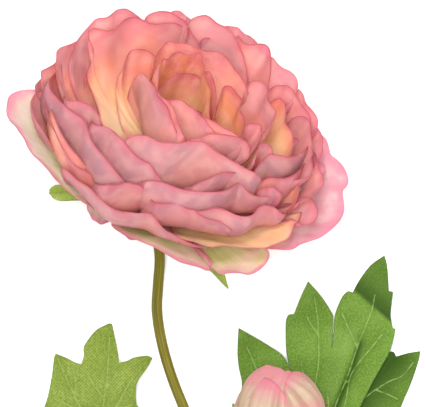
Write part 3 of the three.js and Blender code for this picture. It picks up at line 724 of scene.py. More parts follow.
# Bloom petals, ring by ring from the outside
bloomPiece = {
    "outer": [
        # left side, top to bottom
        (25, 0.1, [
            (62, 66, 22), (58, 60), (54, 64), (47, 68), (41, 71.5, 25), (42.5, 76), (42, 82),
            (46, 92, 18)]),
        (22, 0.1, [
            (50, 80, 19), (42, 78.5), (38, 82), (35, 86, 22), (36, 91), (38, 97), (42, 104, 17)]),
        (21, 0.3, [
            (46, 91, 20), (37, 92), (33, 97), (30.5, 103, 21), (32, 109), (34, 115), (36.5, 121, 19),
            (41, 128), (46, 136), (52, 146, 16), (58, 156), (64, 164, 15)]),
        (22, 0.85, [
            (56, 72, 22), (50, 80, 23), (46.5, 88), (45, 96), (46, 106, 22.5), (48.5, 115), (52, 124),
            (56, 133, 22), (60.5, 143), (66, 153.5), (72, 162, 21.5), (79, 167.5), (86, 170.5),
            (91, 174, 21), (93, 180), (97, 188, 17)], {"down": 1.5, "late": 0.1, "pull": 0.7}),
        (17.5, 0.3, [
            (62, 166, 16), (70, 173, 16.5), (77, 179.5), (84, 184), (91, 188.5, 17.5), (97, 195),
            (104, 202), (111, 207.5), (119, 211, 18.5), (128, 212), (138, 213.2), (148, 213, 18.5),
            (153, 215), (157, 220, 17), (161, 226), (166, 230.5, 15), (173, 234), (180, 238),
            (187, 242, 12), (195, 245), (203, 247.5, 11)]),
        # low petal with its yellow inside, and the right side, bottom to top
        (12, 1.2, [
            (180, 238, 12), (188, 240.5), (195, 242), (203, 245), (211, 247, 12), (222, 246), (232, 246.5),
            (243, 248, 12), (255, 248), (266, 248), (273, 245.5, 13), (281, 242), (288, 238.5),
            (292, 232, 14), (294, 226), (299, 220, 15),
            (302, 212, 14)], {"arrive": 35, "launch": 0, "late": 0.4}),
        (18, 0.1, [
            (292, 204, 15), (300, 197.5), (306, 197), (312, 199), (315, 204), (318, 211, 18), (317, 218),
            (313, 223), (307, 225), (301, 224.5), (297, 221), (291, 218, 14)], {"arrive": 50}),
        (21.5, 0.15, [
            (308, 148, 20), (315, 153), (317, 160), (318.5, 167), (321, 173), (324, 180, 21.5),
            (323.5, 185), (319, 189), (315, 192), (312.5, 196, 20), (306, 198), (301, 201),
            (296, 208, 16)], {"arrive": 70}),
        (24, 0.1, [
            (300, 118, 20), (308, 119.5), (313, 122), (317, 127), (321, 133), (323, 139, 24), (322.5, 146),
            (323, 150), (321, 156), (318, 161), (312, 170, 19)], {"arrive": 75}),
        (26, 0.0, [
            (286, 104, 22), (292, 93), (298, 89), (303, 94), (306, 103), (312, 110, 26), (317, 117),
            (318, 124), (316, 132), (310, 142, 21)], {"arrive": 80}),
        (29.5, 0.05, [
            (256, 78, 17), (264, 64), (272, 57, 29), (278, 64), (283, 68), (290, 71, 29.5), (296, 77),
            (298, 83), (297, 92, 26.5), (294, 101), (288, 112, 21)]),
        (30.5, 0.0, [
            (212, 48, 18), (219, 30), (226, 26), (232, 26.3), (238, 27.5, 30.5), (245, 34), (250, 36),
            (257, 42.5), (264, 56, 18)]),
        (30, 0.0, [
            (158, 34, 18), (166, 16), (171, 12), (175, 10.5), (180, 11), (185, 15, 30), (191, 20),
            (200, 38, 18)]),
        (31, 0.05, [
            (68, 66, 22), (72, 52, 26), (77, 41), (85, 30.5), (90, 25), (95, 19.5), (98, 18),
            (105, 17.8, 30.5), (110, 15.5), (115, 11), (119, 9), (125, 8.5, 31), (131, 11), (136, 14.5),
            (142, 20), (148, 36, 18)]),
        (28, 0.1, [
            (96, 66, 12), (86, 48, 22), (80, 41.5), (77, 41), (72, 43.5), (66, 45.5), (60, 48),
            (56.5, 52, 28), (56.5, 59), (55.5, 64), (58, 76, 23), (64, 92, 17)]),
        # the top of the outside, seen from the back
        (222, 37.5, 20, 32), (252, 38, 20, 32), (282, 38, 20, 32), (312, 37.5, 20, 30), (338, 38, 18.5, 28),
    ],
    "tall": [
        # back wall, left to right
        (30, 1.0, [
            (113, 137, 7), (101.5, 124, 8.5), (99, 113), (95, 101, 11), (91.5, 90), (88, 81, 15.5),
            (86.5, 74, 18), (89, 66), (93, 58, 21), (94, 50), (90, 42, 26), (88, 35), (91, 28, 29),
            (100, 29.5), (110, 31, 30), (115, 29.5), (120, 24), (125, 19.5), (132, 16.8, 30), (140, 18),
            (147, 22.5, 29.5), (156, 24), (166, 23, 29), (176, 23.5), (184, 27, 27), (190, 34, 23),
            (193, 44, 18), (193, 58, 13)], {"swell": 0.3, "crease": 0.04, "rootHeight": 8, "launch": 3}),
        (30, 0.4, [
            (140, 52, 14), (142, 38), (143.5, 26, 25), (146, 17), (152, 13), (160, 11, 30), (170, 12),
            (178, 16.5), (185, 21, 29), (189, 27), (192, 34, 27), (197, 40),
            (204, 54, 21)], {"dusk": 0.12}),
        (32, 0.25, [
            (198, 54, 18), (190, 37, 25), (187.5, 28, 30), (190, 20.5), (196, 16.8), (206, 15, 32),
            (211, 17.5), (217, 23), (226, 27, 31), (231, 31), (235, 37), (240, 48, 28.5), (244, 58),
            (246.5, 70, 24.5), (247.5, 80), (250, 92, 19)], {"dusk": 0.12}),
        (31, 0.55, [
            (238, 70, 16), (234, 46, 26), (234, 36), (237, 35), (241, 39), (244, 43), (250, 44.5),
            (260, 43.5, 31), (267, 45), (270, 50), (271, 58, 29.5), (271, 68, 27.5), (270, 78),
            (268, 92, 21)]),
        (27.5, 0.75, [
            (258, 110, 12), (264, 97, 20), (269, 90, 26), (275, 86), (282, 85.3, 27.5), (288, 86),
            (293, 90), (297, 97, 26), (303, 107), (309, 114, 25), (311, 122), (308, 136, 20)]),
        (26, 0.1, [
            (292, 118, 20), (300, 116, 23), (306, 118), (310, 123, 26), (310.5, 130), (311, 137),
            (312.5, 144), (311.5, 149), (313, 153), (311, 158), (312.5, 165, 25), (313, 171), (310, 175.5),
            (304, 178), (297, 179.5, 22), (289, 178, 18)]),
        # left side and front
        (28, 0.05, [
            (52, 76, 23), (49, 84, 25), (52, 92), (58, 99), (64, 104.5), (70, 109.5, 28), (77, 114),
            (83, 118), (87, 124), (88.5, 131), (91, 139, 28), (96, 147), (103, 155), (110, 163, 27),
            (116, 171), (121, 177), (126, 182, 22),
            (130, 190, 14)], {"arrive": 108, "launch": 4, "pull": 0.75, "down": 1.5, "dusk": 0.5}),
        (25, 1.0, [
            (49, 92, 21), (50, 101), (54, 116, 24), (61, 132), (69, 145), (78, 156, 24), (87, 166),
            (94, 175, 19)], {"arrive": 104, "launch": 8, "down": 2, "late": 0.3}),
        (24.5, 0.1, [
            (90, 176, 13), (94, 182.5, 19), (99, 184.5), (108, 184.8, 24.5), (118, 184), (127, 182.3),
            (133, 183.5), (139, 184.8), (144, 188, 24.5), (148, 193.5), (151, 199), (154, 206, 14)],
         {"arrive": 100, "launch": 3, "pull": 0.7, "late": 0.06, "down": 2, "dusk": 0.25}),
        (24, 0.25, [
            (143, 190, 20), (148, 195), (152, 200), (157, 203, 23), (165, 203.7), (172, 203),
            (177, 202.8, 23), (182, 205.5), (188, 208.5), (195, 210), (199, 214, 21.5), (205, 217.5),
            (212, 219.5), (219, 221, 20), (225, 225), (230, 229, 18), (235, 232, 15)],
         {"arrive": 101, "launch": 3, "pull": 0.69, "late": 0.04, "down": 2.3, "dusk": 0.15}),
        (21, 1.1, [
            (266, 208, 14), (271, 198), (279, 190), (287, 183, 20), (293, 178.5), (297, 179),
            (299, 186, 21), (298, 196), (294, 205), (288, 214, 14)], {"arrive": 96, "late": 0.3}),
        (23.5, 0.3, [
            (190, 206, 21), (197, 210.8), (204, 210.5), (210, 208.8), (214, 207.3, 23.5), (219, 207.8),
            (226, 210), (233, 213.5), (240, 216, 22.5), (247, 216.5), (252, 215), (256, 211), (259, 207),
            (263, 205.3, 23.5), (270, 205.7), (275, 207.5), (279, 211), (284, 214.5, 20), (288, 210, 17)],
         {"arrive": 101, "launch": 3, "pull": 0.69, "late": 0.04, "down": 2.3, "dusk": 0.15}),
    ],
    "middle": [
        (27, 0.95, [
            (266, 112, 20), (274, 100, 24), (281, 99), (285.5, 106, 27), (286, 114), (285, 121), (288, 127),
            (291.5, 132, 27), (293, 140), (292.5, 148), (290, 156, 25),
            (284, 163, 21)], {"swell": 0.3, "late": 0.3, "launch": 14, "pull": 0.5, "arrive": 92}),
        (30, 0.1, [
            (64, 96, 24), (70, 101, 29), (77, 101), (84, 102.5, 30), (90, 105), (95, 109.5), (99, 115, 30),
            (101, 122), (104, 130, 25)], {"arrive": 94, "pull": 0.55, "down": 1, "dusk": 0.1}),
        (31, 0.1, [
            (91, 117, 24), (94, 124, 28), (99, 126), (104, 126), (110, 128.5), (115, 132), (119, 136, 31),
            (124, 140.5), (128, 146), (133, 152), (138, 157, 29.5), (144, 160.5), (149, 163), (153, 168),
            (157, 174, 27), (160, 178), (164, 184, 24)], {"arrive": 108, "down": 1, "dusk": 0.5}),
        (27, 0.25, [
            (128, 189, 16), (134, 185), (141, 181.8), (148, 181, 27), (156, 181.2), (163, 182.5),
            (170, 184.7), (178, 188), (186, 190, 27), (196, 191.3), (208, 192), (220, 191.5, 26),
            (229, 189), (236, 184, 26), (240, 182.5), (243, 186), (248, 191.5, 25), (254, 195.5),
            (261, 197), (268, 196, 23), (275, 200, 19)],
         {"arrive": 104, "pull": 0.75, "launch": 3, "late": 0.05, "down": 1.6, "dusk": 0.2}),
        (30, 0.15, [
            (178, 190, 20), (184, 187.3), (191, 186), (198, 183, 29), (205, 180.5), (211, 178),
            (217, 174.5, 30), (224, 172.2), (233, 172), (242, 173, 29), (250, 174),
            (258, 176, 25)], {"down": 2, "dusk": 0.2, "arrive": 96, "pull": 0.6}),
        (28, 0.0, [
            (250, 176, 24), (255, 170.5, 27), (258, 166), (262, 161), (266, 156.5), (269.5, 154, 28),
            (275, 154.3), (282, 155.5), (290, 156.7, 28), (298, 155), (304, 150.5, 26.5), (309, 145, 25),
            (312, 140, 21)], {"arrive": 108, "down": 2, "dusk": 0.5}),
        (25, 0.6, [
            (252, 191, 20), (261, 181.5), (271, 177.5), (283, 178.5, 25), (291, 176), (300, 169.5, 24.5),
            (306, 161, 22)], {"down": 2}),
        (29, 0.0, [
            (258, 190, 24), (266, 187.5), (272, 186.7, 27), (276, 189), (280, 192),
            (283, 197, 23)], {"down": 3}),
        (35, 0.05, [
            (122, 148, 25), (125, 141.5, 29), (129, 137.5), (134, 135.3), (140, 134.5), (146, 135.5, 33),
            (152, 138), (158, 141), (165, 142.5), (173, 142.8, 35), (182, 142.5), (190, 141.5), (197, 141),
            (203, 142, 34), (209, 145), (215, 150), (222, 154.5), (230, 159.5, 31), (238, 163.5),
            (246, 168.5), (254, 172, 28.5),
            (262, 180, 23)], {"arrive": 107, "launch": 3, "pull": 0.72, "late": 0.05, "dusk": 0.4}),
    ],
    "inner": [
        (29, 0.85, [
            (127, 140, 8), (122, 129, 9), (118.5, 117, 11), (116.5, 100, 15), (116, 86, 19.5),
            (119, 75, 22), (124, 68), (126, 58, 27), (131, 50.5), (138, 49, 29), (146, 50), (153, 54, 27.5),
            (160, 66, 22)], {"swell": 0.3, "crease": 0.04, "rootHeight": 9, "launch": 4, "late": 0.12}),
        (30, 0.15, [
            (243, 100, 23), (247, 87, 27), (252, 81), (257, 80.7, 30), (262, 82), (266, 85.5),
            (268, 90, 30), (267, 96), (268, 101), (272, 106), (276, 111, 30), (275.5, 117), (272, 123),
            (268, 128), (263, 133, 29), (259, 140, 24)]),
        (26, 0.1, [
            (197, 54, 20), (200, 42, 24.5), (204, 38.3), (210, 38, 26), (215, 39), (218, 43), (219.5, 50),
            (222, 60, 20)]),
        (30, 0.05, [
            (254, 166, 24), (257, 154, 28), (260, 145), (264, 142.7, 30), (268, 143.5), (271.5, 147),
            (273, 154, 26)]),
    ],
    "grid": (42, 23), "thick": 0.3,
    "look": {
        "cool": [(0.0, "#f8c896"), (0.5, "#f4b298"), (0.72, "#eaa8a2"), (0.87, "#e2a4ae"), (1.0, "#de9aac")],
        "warm": [(0.0, "#ffe9a8"), (0.36, "#fff2c0"), (0.56, "#ffd8a8"), (0.72, "#fbb49a"), (0.88, "#eca4a4"),
                 (1.0, "#e29eae")],
        "outside": -0.25, "duskyAmount": 0.4, "duskyColor": "#c0949e", "pale": 0.34, "paleColor": "#f8d2c8",
        "patchSize": 9, "streak": 0.12, "streakColor": "#eca8a2", "band": 0.55, "bandColor": "#dc7088",
        "bandWidth": 2.2, "line": 0.75, "lineColor": "#b4566c", "lineWidth": 0.4, "uneven": 0.45,
        "creaseWidth": 1.4, "creaseDepth": 0.2, "threads": 2.8, "threadDepth": 0.03, "roughness": 0.6,
        "sheen": 0.05, "glow": 0.47, "glowColor": "#ffdcc8", "warmth": 0.5,
    },
}
rounds = ("outer", "tall", "middle", "inner")
bloomSheets = [sheet for ring in rounds for sheet in whorl(bloomAxes, ring, bloomPiece, ring)]
makePiece("bloomPetals", bloomSheets, [petalCloth("bloomCloth", bloomPiece["look"])], ["bloom_petals"])

# Heart petals, closed round the middle
heartPiece = {
    "petals": [
        (33, 0.45, [
            (154, 62, 29), (157, 53, 32), (161, 48.5), (165, 43.5), (171, 41, 33), (176, 43), (181, 42.3),
            (187, 43.8), (193, 46), (199, 48.5), (206, 50.5, 33), (213, 50.8), (220, 52.5), (226, 56.5),
            (230, 61, 32), (234, 68), (239, 74), (245, 84, 28), (250, 98, 23)]),
        (34.5, 0.9, [
            (158, 92, 31), (158.5, 78, 34), (160, 68), (162, 60), (165, 57.5), (167.5, 60), (171, 55, 34.5),
            (175, 52.5), (181, 51.7), (186, 54.5), (192, 54.5), (198, 52.3, 34.5), (202, 56), (202, 62),
            (205, 66), (204, 71), (206.5, 77, 34), (208, 84), (211, 89), (210, 97), (209.5, 107, 32),
            (210, 120, 28)]),
        (31.5, 0.7, [
            (158, 94, 29), (161, 87), (165, 82.5), (170, 78), (176, 74.8, 31.5), (183, 73.3), (191, 73.7),
            (198, 76), (203, 82, 30), (205, 92, 26)]),
        (32, 0.95, [
            (214, 124, 24), (216, 114, 28), (219, 105), (221, 96, 31), (223, 87.5), (226, 85.5),
            (231, 86.3, 32), (234.5, 90), (238, 95), (242, 99), (241.5, 103), (238.8, 106, 31.5),
            (240, 111), (243.5, 114.5), (245, 121), (244, 130, 30), (242, 138, 27)]),
        (32.5, 0.35, [
            (202, 66, 28), (205, 71.5, 32), (209, 71.5), (212, 75), (215, 84, 32.5), (216.5, 95),
            (216, 106), (213.5, 118, 28)]),
        (32, 0.1, [
            (243, 142, 26), (244.5, 131, 31), (247, 125.5), (251, 123.5, 32), (256, 123.2), (260.5, 124.5),
            (262, 130, 31.5), (260, 137), (255, 144), (251, 151, 30), (248, 160, 25)]),
        (33, 0.35, [
            (194, 116, 30), (202, 116.3, 32.5), (211, 120), (217, 123), (224, 127.5, 32.5), (232, 132),
            (238, 136.3), (243, 139.5, 31), (248, 146, 26)]),
        (34, 0.3, [
            (160, 99, 31), (165, 98.5), (171, 100, 34), (178, 99.5), (184, 101.5), (190, 106, 34),
            (196, 110), (200, 115), (205, 119, 33), (208, 124), (212, 129), (216, 134.5, 30),
            (218, 142, 26)]),
        (35, 0.0, [
            (151, 80, 31), (155, 86), (158, 92, 34.5), (161.5, 97), (166, 99.5), (170, 103.5),
            (174, 109.5, 35), (177, 117), (179, 124), (182, 131.5, 33.5), (187, 140, 30)]),
        (35, 0.05, [
            (138, 139, 3), (130, 129, 5), (126.5, 115, 9), (127, 100, 14), (130, 88, 20), (135, 78, 25),
            (142, 73, 29.5), (147, 77), (151, 83, 33), (156, 88), (157.5, 94, 34.5), (163, 101),
            (168, 107, 35), (170, 113), (172, 121, 34), (176, 130), (180, 137, 31), (185, 143, 29),
            (188, 152, 24)], {"swell": 0.3}),
        (33, 0.05, [
            (182, 148, 28), (187, 140.5, 32), (193, 138.7), (200, 138), (205, 135, 33), (210, 133.3),
            (217, 133.8), (224, 134.5), (232, 135.5, 32), (240, 138), (246, 141), (249.5, 146, 30),
            (250, 152), (247, 160, 25)]),
        (200, 5, 27, 8), (330, 6, 26, 10), (80, 5, 27, 10),
    ],
    "grid": (44, 26), "thick": 0.28,
    "look": {
        **bloomPiece["look"],
        "cool": [(0.0, "#fcd8a0"), (0.5, "#f8c6ae"), (0.75, "#f4b8b4"), (0.9, "#f0b2bc"), (1.0, "#eaa6b6")],
        "warm": [(0.0, "#ffe090"), (0.5, "#f4d494"), (0.72, "#eeb686"), (0.88, "#e08a78"), (1.0, "#d8808a")],
        "duskyAmount": 0.25, "patchSize": 6, "bandWidth": 1.8, "glowColor": "#ffd8ac",
    },
}
heartSheets = whorl(bloomAxes, "heart", heartPiece)
makePiece("heartPetals", heartSheets, [petalCloth("heartCloth", heartPiece["look"])], ["heart_petals"])
print("bloom made")


# A rod along a line, with its radius given by length, soft ribs and cut ends
rod = {
    "ribs": 5, "ribDepth": 0.03,  # parts of its radius
    "twist": 0.02,  # radians that the ribs turn in a mm
    "closing": (0.15, 0.88),  # sizes of the rings that close an end
    "step": 1.2,  # mm between its rings
}


def rodSheet(line, radius, sides=28, seed=1.0, slot=0):
    tangent = np.gradient(line, axis=0)
    tangent /= np.linalg.norm(tangent, axis=1, keepdims=True)
    across = [np.cross(tangent[0], (0.02, 0.03, 1))]  # nearly level
    for direction in tangent[1:]:
        across.append(across[-1] - direction * (across[-1] @ direction))
    across = np.array(across) / np.linalg.norm(across, axis=1, keepdims=True)
    upward = np.cross(tangent, across)
    length = summed(np.linalg.norm(np.diff(line, axis=0), axis=1))
    wide = np.interp(length, *zip(*radius))
    order = [0, 0, *range(len(line)), -1, -1]
    shrink = np.array([*rod["closing"], *[1] * len(line), *rod["closing"][::-1]])
    turn = np.linspace(0, 2 * math.pi, sides, endpoint=False)[None, :]
    ribs = 1 + rod["ribDepth"] * np.cos(rod["ribs"] * turn + rod["twist"] * length[order][:, None])
    ribbed = (wide[order] * shrink)[:, None] * ribs
    points = line[order][:, None] + across[order][:, None] * (ribbed * np.cos(turn))[..., None]
    points = points + upward[order][:, None] * (ribbed * np.sin(turn))[..., None]
    rows = len(order)
    grid = np.arange(rows * sides).reshape(rows, sides)
    turned = np.roll(grid, -1, axis=1)
    faces = np.stack([grid[:-1], turned[:-1], turned[1:], grid[1:]], -1).reshape(-1, 4).tolist()
    cut = np.array([1.0, 1.0, *[0.0] * len(line), 1.0, 1.0])
    cloth = np.stack(np.broadcast_arrays(turn * 1.5, length[order][:, None]), -1)  # mm round it and along it
    return {
        "points": points.reshape(-1, 3), "faces": [*faces, grid[0, ::-1].tolist(), grid[-1].tolist()],
        "cloth": cloth.reshape(-1, 2), "slot": slot,
        "marks": {"cut": np.repeat(cut, sides), "seed": np.full(rows * sides, seed)},
    }


def stemLine(axes, piece):  # down the axis of its bloom or bud, then along its route
    start = [alongAxes(axes, 0, 0, up) for up in piece["onAxis"]]
    return smoothLine([*start, *drawn(piece["route"])], rod["step"])


# Stem, from the calyx to its cut end, with a swollen seat under the bloom
lying = 1.45  # mm, the height of its middle where it lies on the floor
stemPiece = {
    "onAxis": (-2.5, -4, -9),
    "route": [
        (-6.8, -28, 8.4), (-5.4, -36, 4.8), (-5.9, -45, 2.2), (-6.2, -52, lying), (-4.6, -62, lying),
        (-1.6, -72, lying), (2.4, -82, lying), (8.5, -97, lying), (15, -120, lying), (19.5, -142, lying),
        (22.5, -168, lying), (24, -195, lying), (24, -222, lying),
    ],
    "radius": [(0, 4.6), (1, 4.5), (3.5, 2.6), (6, 1.7), (9, 1.5), (400, 1.5)],  # at each length
    "look": {
        "dark": "#5a5204", "light": "#7a7220", "streakWidth": 0.5, "streakDepth": 0.12, "patchSize": 7,
        "patch": 0.35, "patchColor": "#685a10", "cutColor": "#b9b98a", "roughness": 0.55,
    },
}
stemLook = stemSkin("stemSkin", stemPiece["look"])
makePiece("flowerStem", [rodSheet(stemLine(bloomAxes, stemPiece), stemPiece["radius"])], [stemLook], ["stem"])

# Stalk of the bud
stalkPiece = {
    "onAxis": (-1.6, -2.6, -8),
    "route": [(29, -112, 8.6), (26.5, -128, 4.6), (23.5, -142, 2.2), (21.8, -153.5, 1.8)],
    "radius": [(0, 2.4), (1.5, 2.2), (4, 1.3), (7, 1.1), (400, 1.1)],
    "look": {**stemPiece["look"], "dark": "#737a33", "light": "#98a04c"},
}
stalkLook = stemSkin("stalkSkin", stalkPiece["look"])
makePiece("budStalk", [rodSheet(stemLine(budAxes, stalkPiece), stalkPiece["radius"], seed=3.0)], [stalkLook],
          ["bud_stalk"])
print("stem and stalk made")


def toSegments(points, line):  # distance from each point to a line, and the side it lies on
    start, end = line[:-1], line[1:]
    step = end - start
    offset = points[:, None] - start
    part = np.clip((offset * step).sum(-1) / (step * step).sum(-1), 0, 1)
    away = offset - part[..., None] * step
    distance = np.linalg.norm(away, axis=-1)
    nearest = distance.argmin(1)
    rows = np.arange(len(points))
    side = np.sign(step[nearest, 0] * away[rows, nearest, 1] - step[nearest, 1] * away[rows, nearest, 0])
    progress = (nearest + part[rows, nearest]) / len(start)
    return distance[rows, nearest], side, progress


def insideLoop(points, loop):
    x, y = points[:, 0:1], points[:, 1:2]
    x0, y0 = loop.T
    x1, y1 = np.roll(loop, -1, axis=0).T
    crosses = (y0 > y) != (y1 > y)
    rise = np.where(y1 == y0, 1e-9, y1 - y0)
    return ((crosses & (x < x0 + (x1 - x0) * (y - y0) / rise)).sum(1) % 2).astype(bool)


# Height of a leaf over the surface: arched from its base to its lobes' tips, folded at its veins
def leafHeight(leaf, points, veinDistance, ridges, seed):
    offset = points - drawn(leaf["base"])
    reach = np.hypot(*offset.T)
    bearing = (np.degrees(np.arctan2(offset[:, 1], offset[:, 0])) + 90) % 360 - 90
    t = reach / np.interp(bearing, *zip(*sorted(leaf["reach"])))
    height = leaf["baseHeight"] + (leaf["tipHeight"] - leaf["baseHeight"]) * t
    height += leaf["arch"] * np.sin(math.pi * np.clip(t, 0, 1) ** 0.8)
    height += leaf["fold"] * np.clip(t, 0, 1) * (1 - np.exp(-veinDistance / leaf["foldWidth"]))
    height += leaf["wave"] * t * t * np.sin(leaf["rimWaves"] * np.radians(bearing) + 0.08 * reach)
    rng = np.random.default_rng(seed)
    for _ in range(leaf["puckers"]):
        direction, phase = rng.normal(0, 0.5, 2), rng.uniform(0, 2 * math.pi)
        height += leaf["pucker"] * np.sin(points @ direction + phase)
    for ridge in ridges:
        distance, side, progress = toSegments(points, drawn(ridge["line"]))
        width = np.where(side > 0, ridge["left"], ridge["right"])
        height += ridge["height"] * smooth(progress / 0.35) * np.exp(-(distance / width) ** 2)
    return height


# One blade of a leaf: its outline filled with small triangles that follow its veins, closed on both faces
def leafSheet(leaf, bladeShape, seed):
    strokes, start = [], bladeShape["edge"][0][0]
    for stroke in bladeShape["edge"]:
        line = smoothLine([start, *stroke] if stroke[0] != start else stroke, leaf["step"])
        strokes.append(line[:-1])
        start = stroke[-1]
    loop = drawn(np.concatenate(strokes))
    veins = [drawn(smoothLine(vein, leaf["step"])) for vein in bladeShape["veins"]]
    veins = [vein[insideLoop(vein, loop)] for vein in veins]
    low, high = loop.min(0), loop.max(0)
    xs, ys = (np.arange(low[k], high[k], leaf["step"]) for k in (0, 1))
    inner = np.stack(np.meshgrid(xs, ys), -1)
    inner[1::2, :, 0] += 0.5 * leaf["step"]
    inner = inner.reshape(-1, 2)
    closed = np.concatenate([loop, loop[:1]])
    clear = insideLoop(inner, loop) & (toSegments(inner, closed)[0] > 0.55 * leaf["step"])
    for vein in veins:
        clear &= toSegments(inner, vein)[0] > 0.5 * leaf["step"]
    given, edges = [*loop], []
    for vein in veins:
        edges += [(len(given) + k, len(given) + k + 1) for k in range(len(vein) - 1)]
        given += [*vein]
    given += [*inner[clear]]
    outline = [list(range(len(loop)))]
    flat, _, triangles = delaunay_2d_cdt([Vector(p) for p in given], edges, outline, 1, 1e-5)[:3]
    flat = np.array([tuple(p) for p in flat])
    faces = np.array(triangles)
    corner = flat[faces]
    area = np.cross(corner[:, 1] - corner[:, 0], corner[:, 2] - corner[:, 0])
    faces[area < 0] = faces[area < 0][:, ::-1]
    rim = toSegments(flat, closed)[0]
    vein = np.min([toSegments(flat, line)[0] for line in veins], axis=0)

    def heightAt(points):
        veinDistance = np.min([toSegments(points, line)[0] for line in veins], axis=0)
        return leafHeight(leaf, points, veinDistance, bladeShape["ridges"], seed) - bladeShape["drop"]

    near = leaf["slopeStep"]
    height = np.maximum(heightAt(flat), leaf["thick"])
    slope = np.stack([(heightAt(flat + near * step) - heightAt(flat - near * step)) / (2 * near)
                      for step in np.eye(2)], -1)
    normal = np.concatenate([-slope, np.ones((len(flat), 1))], 1)
    normal /= np.linalg.norm(normal, axis=1, keepdims=True)
    middle = np.concatenate([flat, height[:, None]], 1)
    half = 0.5 * leaf["thick"] * (0.6 + 0.4 * smooth(rim / 1.2))[:, None]
    far, deep = len(flat), np.zeros(len(flat))
    for shadow in bladeShape["shadows"]:  # one-sided: more than 0 is painted shade, less is painted light
        distance, side, _ = toSegments(flat, drawn(shadow["line"]))
        within = smooth((distance * side * shadow["side"] + 0.5) / 1.2)
        deep += shadow["amount"] * np.exp(-(distance / shadow["width"]) ** 2) * within
    pairs = np.concatenate([faces[:, [0, 1]], faces[:, [1, 2]], faces[:, [2, 0]]])
    opposite = set(map(tuple, pairs[:, ::-1].tolist()))
    border = np.array([pair for pair in pairs.tolist() if tuple(pair) not in opposite])
    edge = np.stack([border[:, 1], border[:, 0], border[:, 0] + far, border[:, 1] + far], -1)
    return {
        "points": np.concatenate([middle + normal * half, middle - normal * half]),
        "faces": [*faces.tolist(), *(faces[:, ::-1] + far).tolist(), *edge.tolist()],
        "cloth": np.tile(flat, (2, 1)), "slot": 0,
        "marks": {"vein": np.tile(vein, 2), "rim": np.tile(rim, 2), "outer": np.repeat([0.0, 1.0], far),
                  "deep": np.tile(deep, 2), "seed": np.full(2 * far, float(seed))},
    }


leafForm = {  # mm, for both leaves
    "thick": 0.35, "step": 0.62, "pucker": 0.07, "puckers": 6, "foldWidth": 2.5, "rimWaves": 5,
    "slopeStep": 0.3, "petioleStep": 1.0,
}
leafLook = {
    # among these, the greens of the painted shade and painted light of the folds
    "veinColor": "#9fb068", "underColor": "#96a268", "paintedShadeGreen": "#4a6118", "paintedLightGreen": "#98a858",
    "patchSize": 9, "smallSize": 1.6, "fleckSize": 0.55, "flecks": 0.2, "under": 0.55, "weft": 0.8,
    "threads": 2.2, "threadDepth": 0.06, "veinWidth": 0.24, "veinAmount": 0.4, "veinDepth": 0.08,
    "ridgeWidth": 0.7, "veinShade": 2.0, "veinShadeAmount": 0.2, "line": 0.55, "lineWidth": 0.3,
    "lineColor": "#52602f", "roughness": 0.62, "sheen": 0.04, "glow": 0.12,
}

# Left leaf, in drawing mm: each stroke of its edge runs to the next corner
leftLeaf = {
    **leafForm, "base": (-23.7, -88.6), "baseHeight": 3, "tipHeight": 0.6, "arch": 4.6, "fold": 0.8,
    "wave": 0.7,
    "reach": [(-90, 12), (-43, 12), (-8, 20), (25, 24), (55, 29), (82, 34), (116, 28), (150, 24), (178, 22),
              (226, 14), (270, 12)],
    "blades": [{
        "drop": 0, "ridges": [], "shadows": [],
        "edge": [
            [(-19, -93), (-23, -93.6), (-28, -93)],
            [(-37, -92.2), (-45, -88)],
            [(-41.5, -84.5), (-38.6, -79.5), (-36.7, -71.8), (-35.9, -65.3), (-35.5, -64.4)],
            [(-31.9, -65.9), (-30, -66.9), (-28.1, -67.5)],
            [(-27.3, -65), (-27.4, -62.7), (-25.9, -60.1), (-23.7, -57.6), (-21.5, -56.4), (-19.9, -55.7),
             (-19.2, -55.9)],
            [(-18.5, -59), (-17.7, -62.8), (-17.2, -66.1), (-17.2, -67)],
            [(-14.9, -66.5), (-13, -65.6), (-10.9, -65.2), (-8.7, -65.1), (-7.5, -65.8)],
            [(-9.2, -68.8), (-10.9, -71), (-12.1, -73.2), (-12.3, -76), (-12.1, -79.1)],
            [(-8, -84), (-5, -89)],
            [(-11, -91.2), (-19, -93)],
        ],
        "veins": [
            [(-23.7, -88.6), (-21.6, -79), (-20.5, -70), (-19.9, -60)],
            [(-23.7, -88.6), (-28.5, -79.5), (-32.4, -71.5), (-34.8, -66)],
            [(-23.7, -88.6), (-17.5, -79), (-13.6, -72), (-9.5, -67)],
            [(-23.7, -88.6), (-33, -88.4), (-42.5, -88)],
            [(-23.7, -88.6), (-15, -87.6), (-7.5, -88.4)],
            [(-21.4, -77.6), (-24.8, -72.6), (-26.2, -70.3)],
            [(-21, -74.5), (-18.3, -71), (-17.9, -69.5)],
            [(-27, -82.3), (-31.4, -79.4), (-35.6, -77.6)],
            [(-29.8, -76.8), (-29.6, -72.5), (-30.3, -69.5)],
            [(-18.8, -81), (-14.8, -79.6), (-13.2, -79)],
        ],
    }],
    "petiole": [(-22.6, -88, 3.0), (-19.5, -89, 3.4), (-12, -92.5, 3.2), (-3, -98, 2.4), (6.4, -103.5, 1.7),
                (10.2, -105.6, 1.5)],
    "petioleRadius": [(0, 0.7), (4, 1.05), (30, 1.1), (36, 1.35), (400, 1.35)],
    "look": {**leafLook, "green": "#7c8f32", "lightGreen": "#8c9c42", "darkGreen": "#566a20"},
}

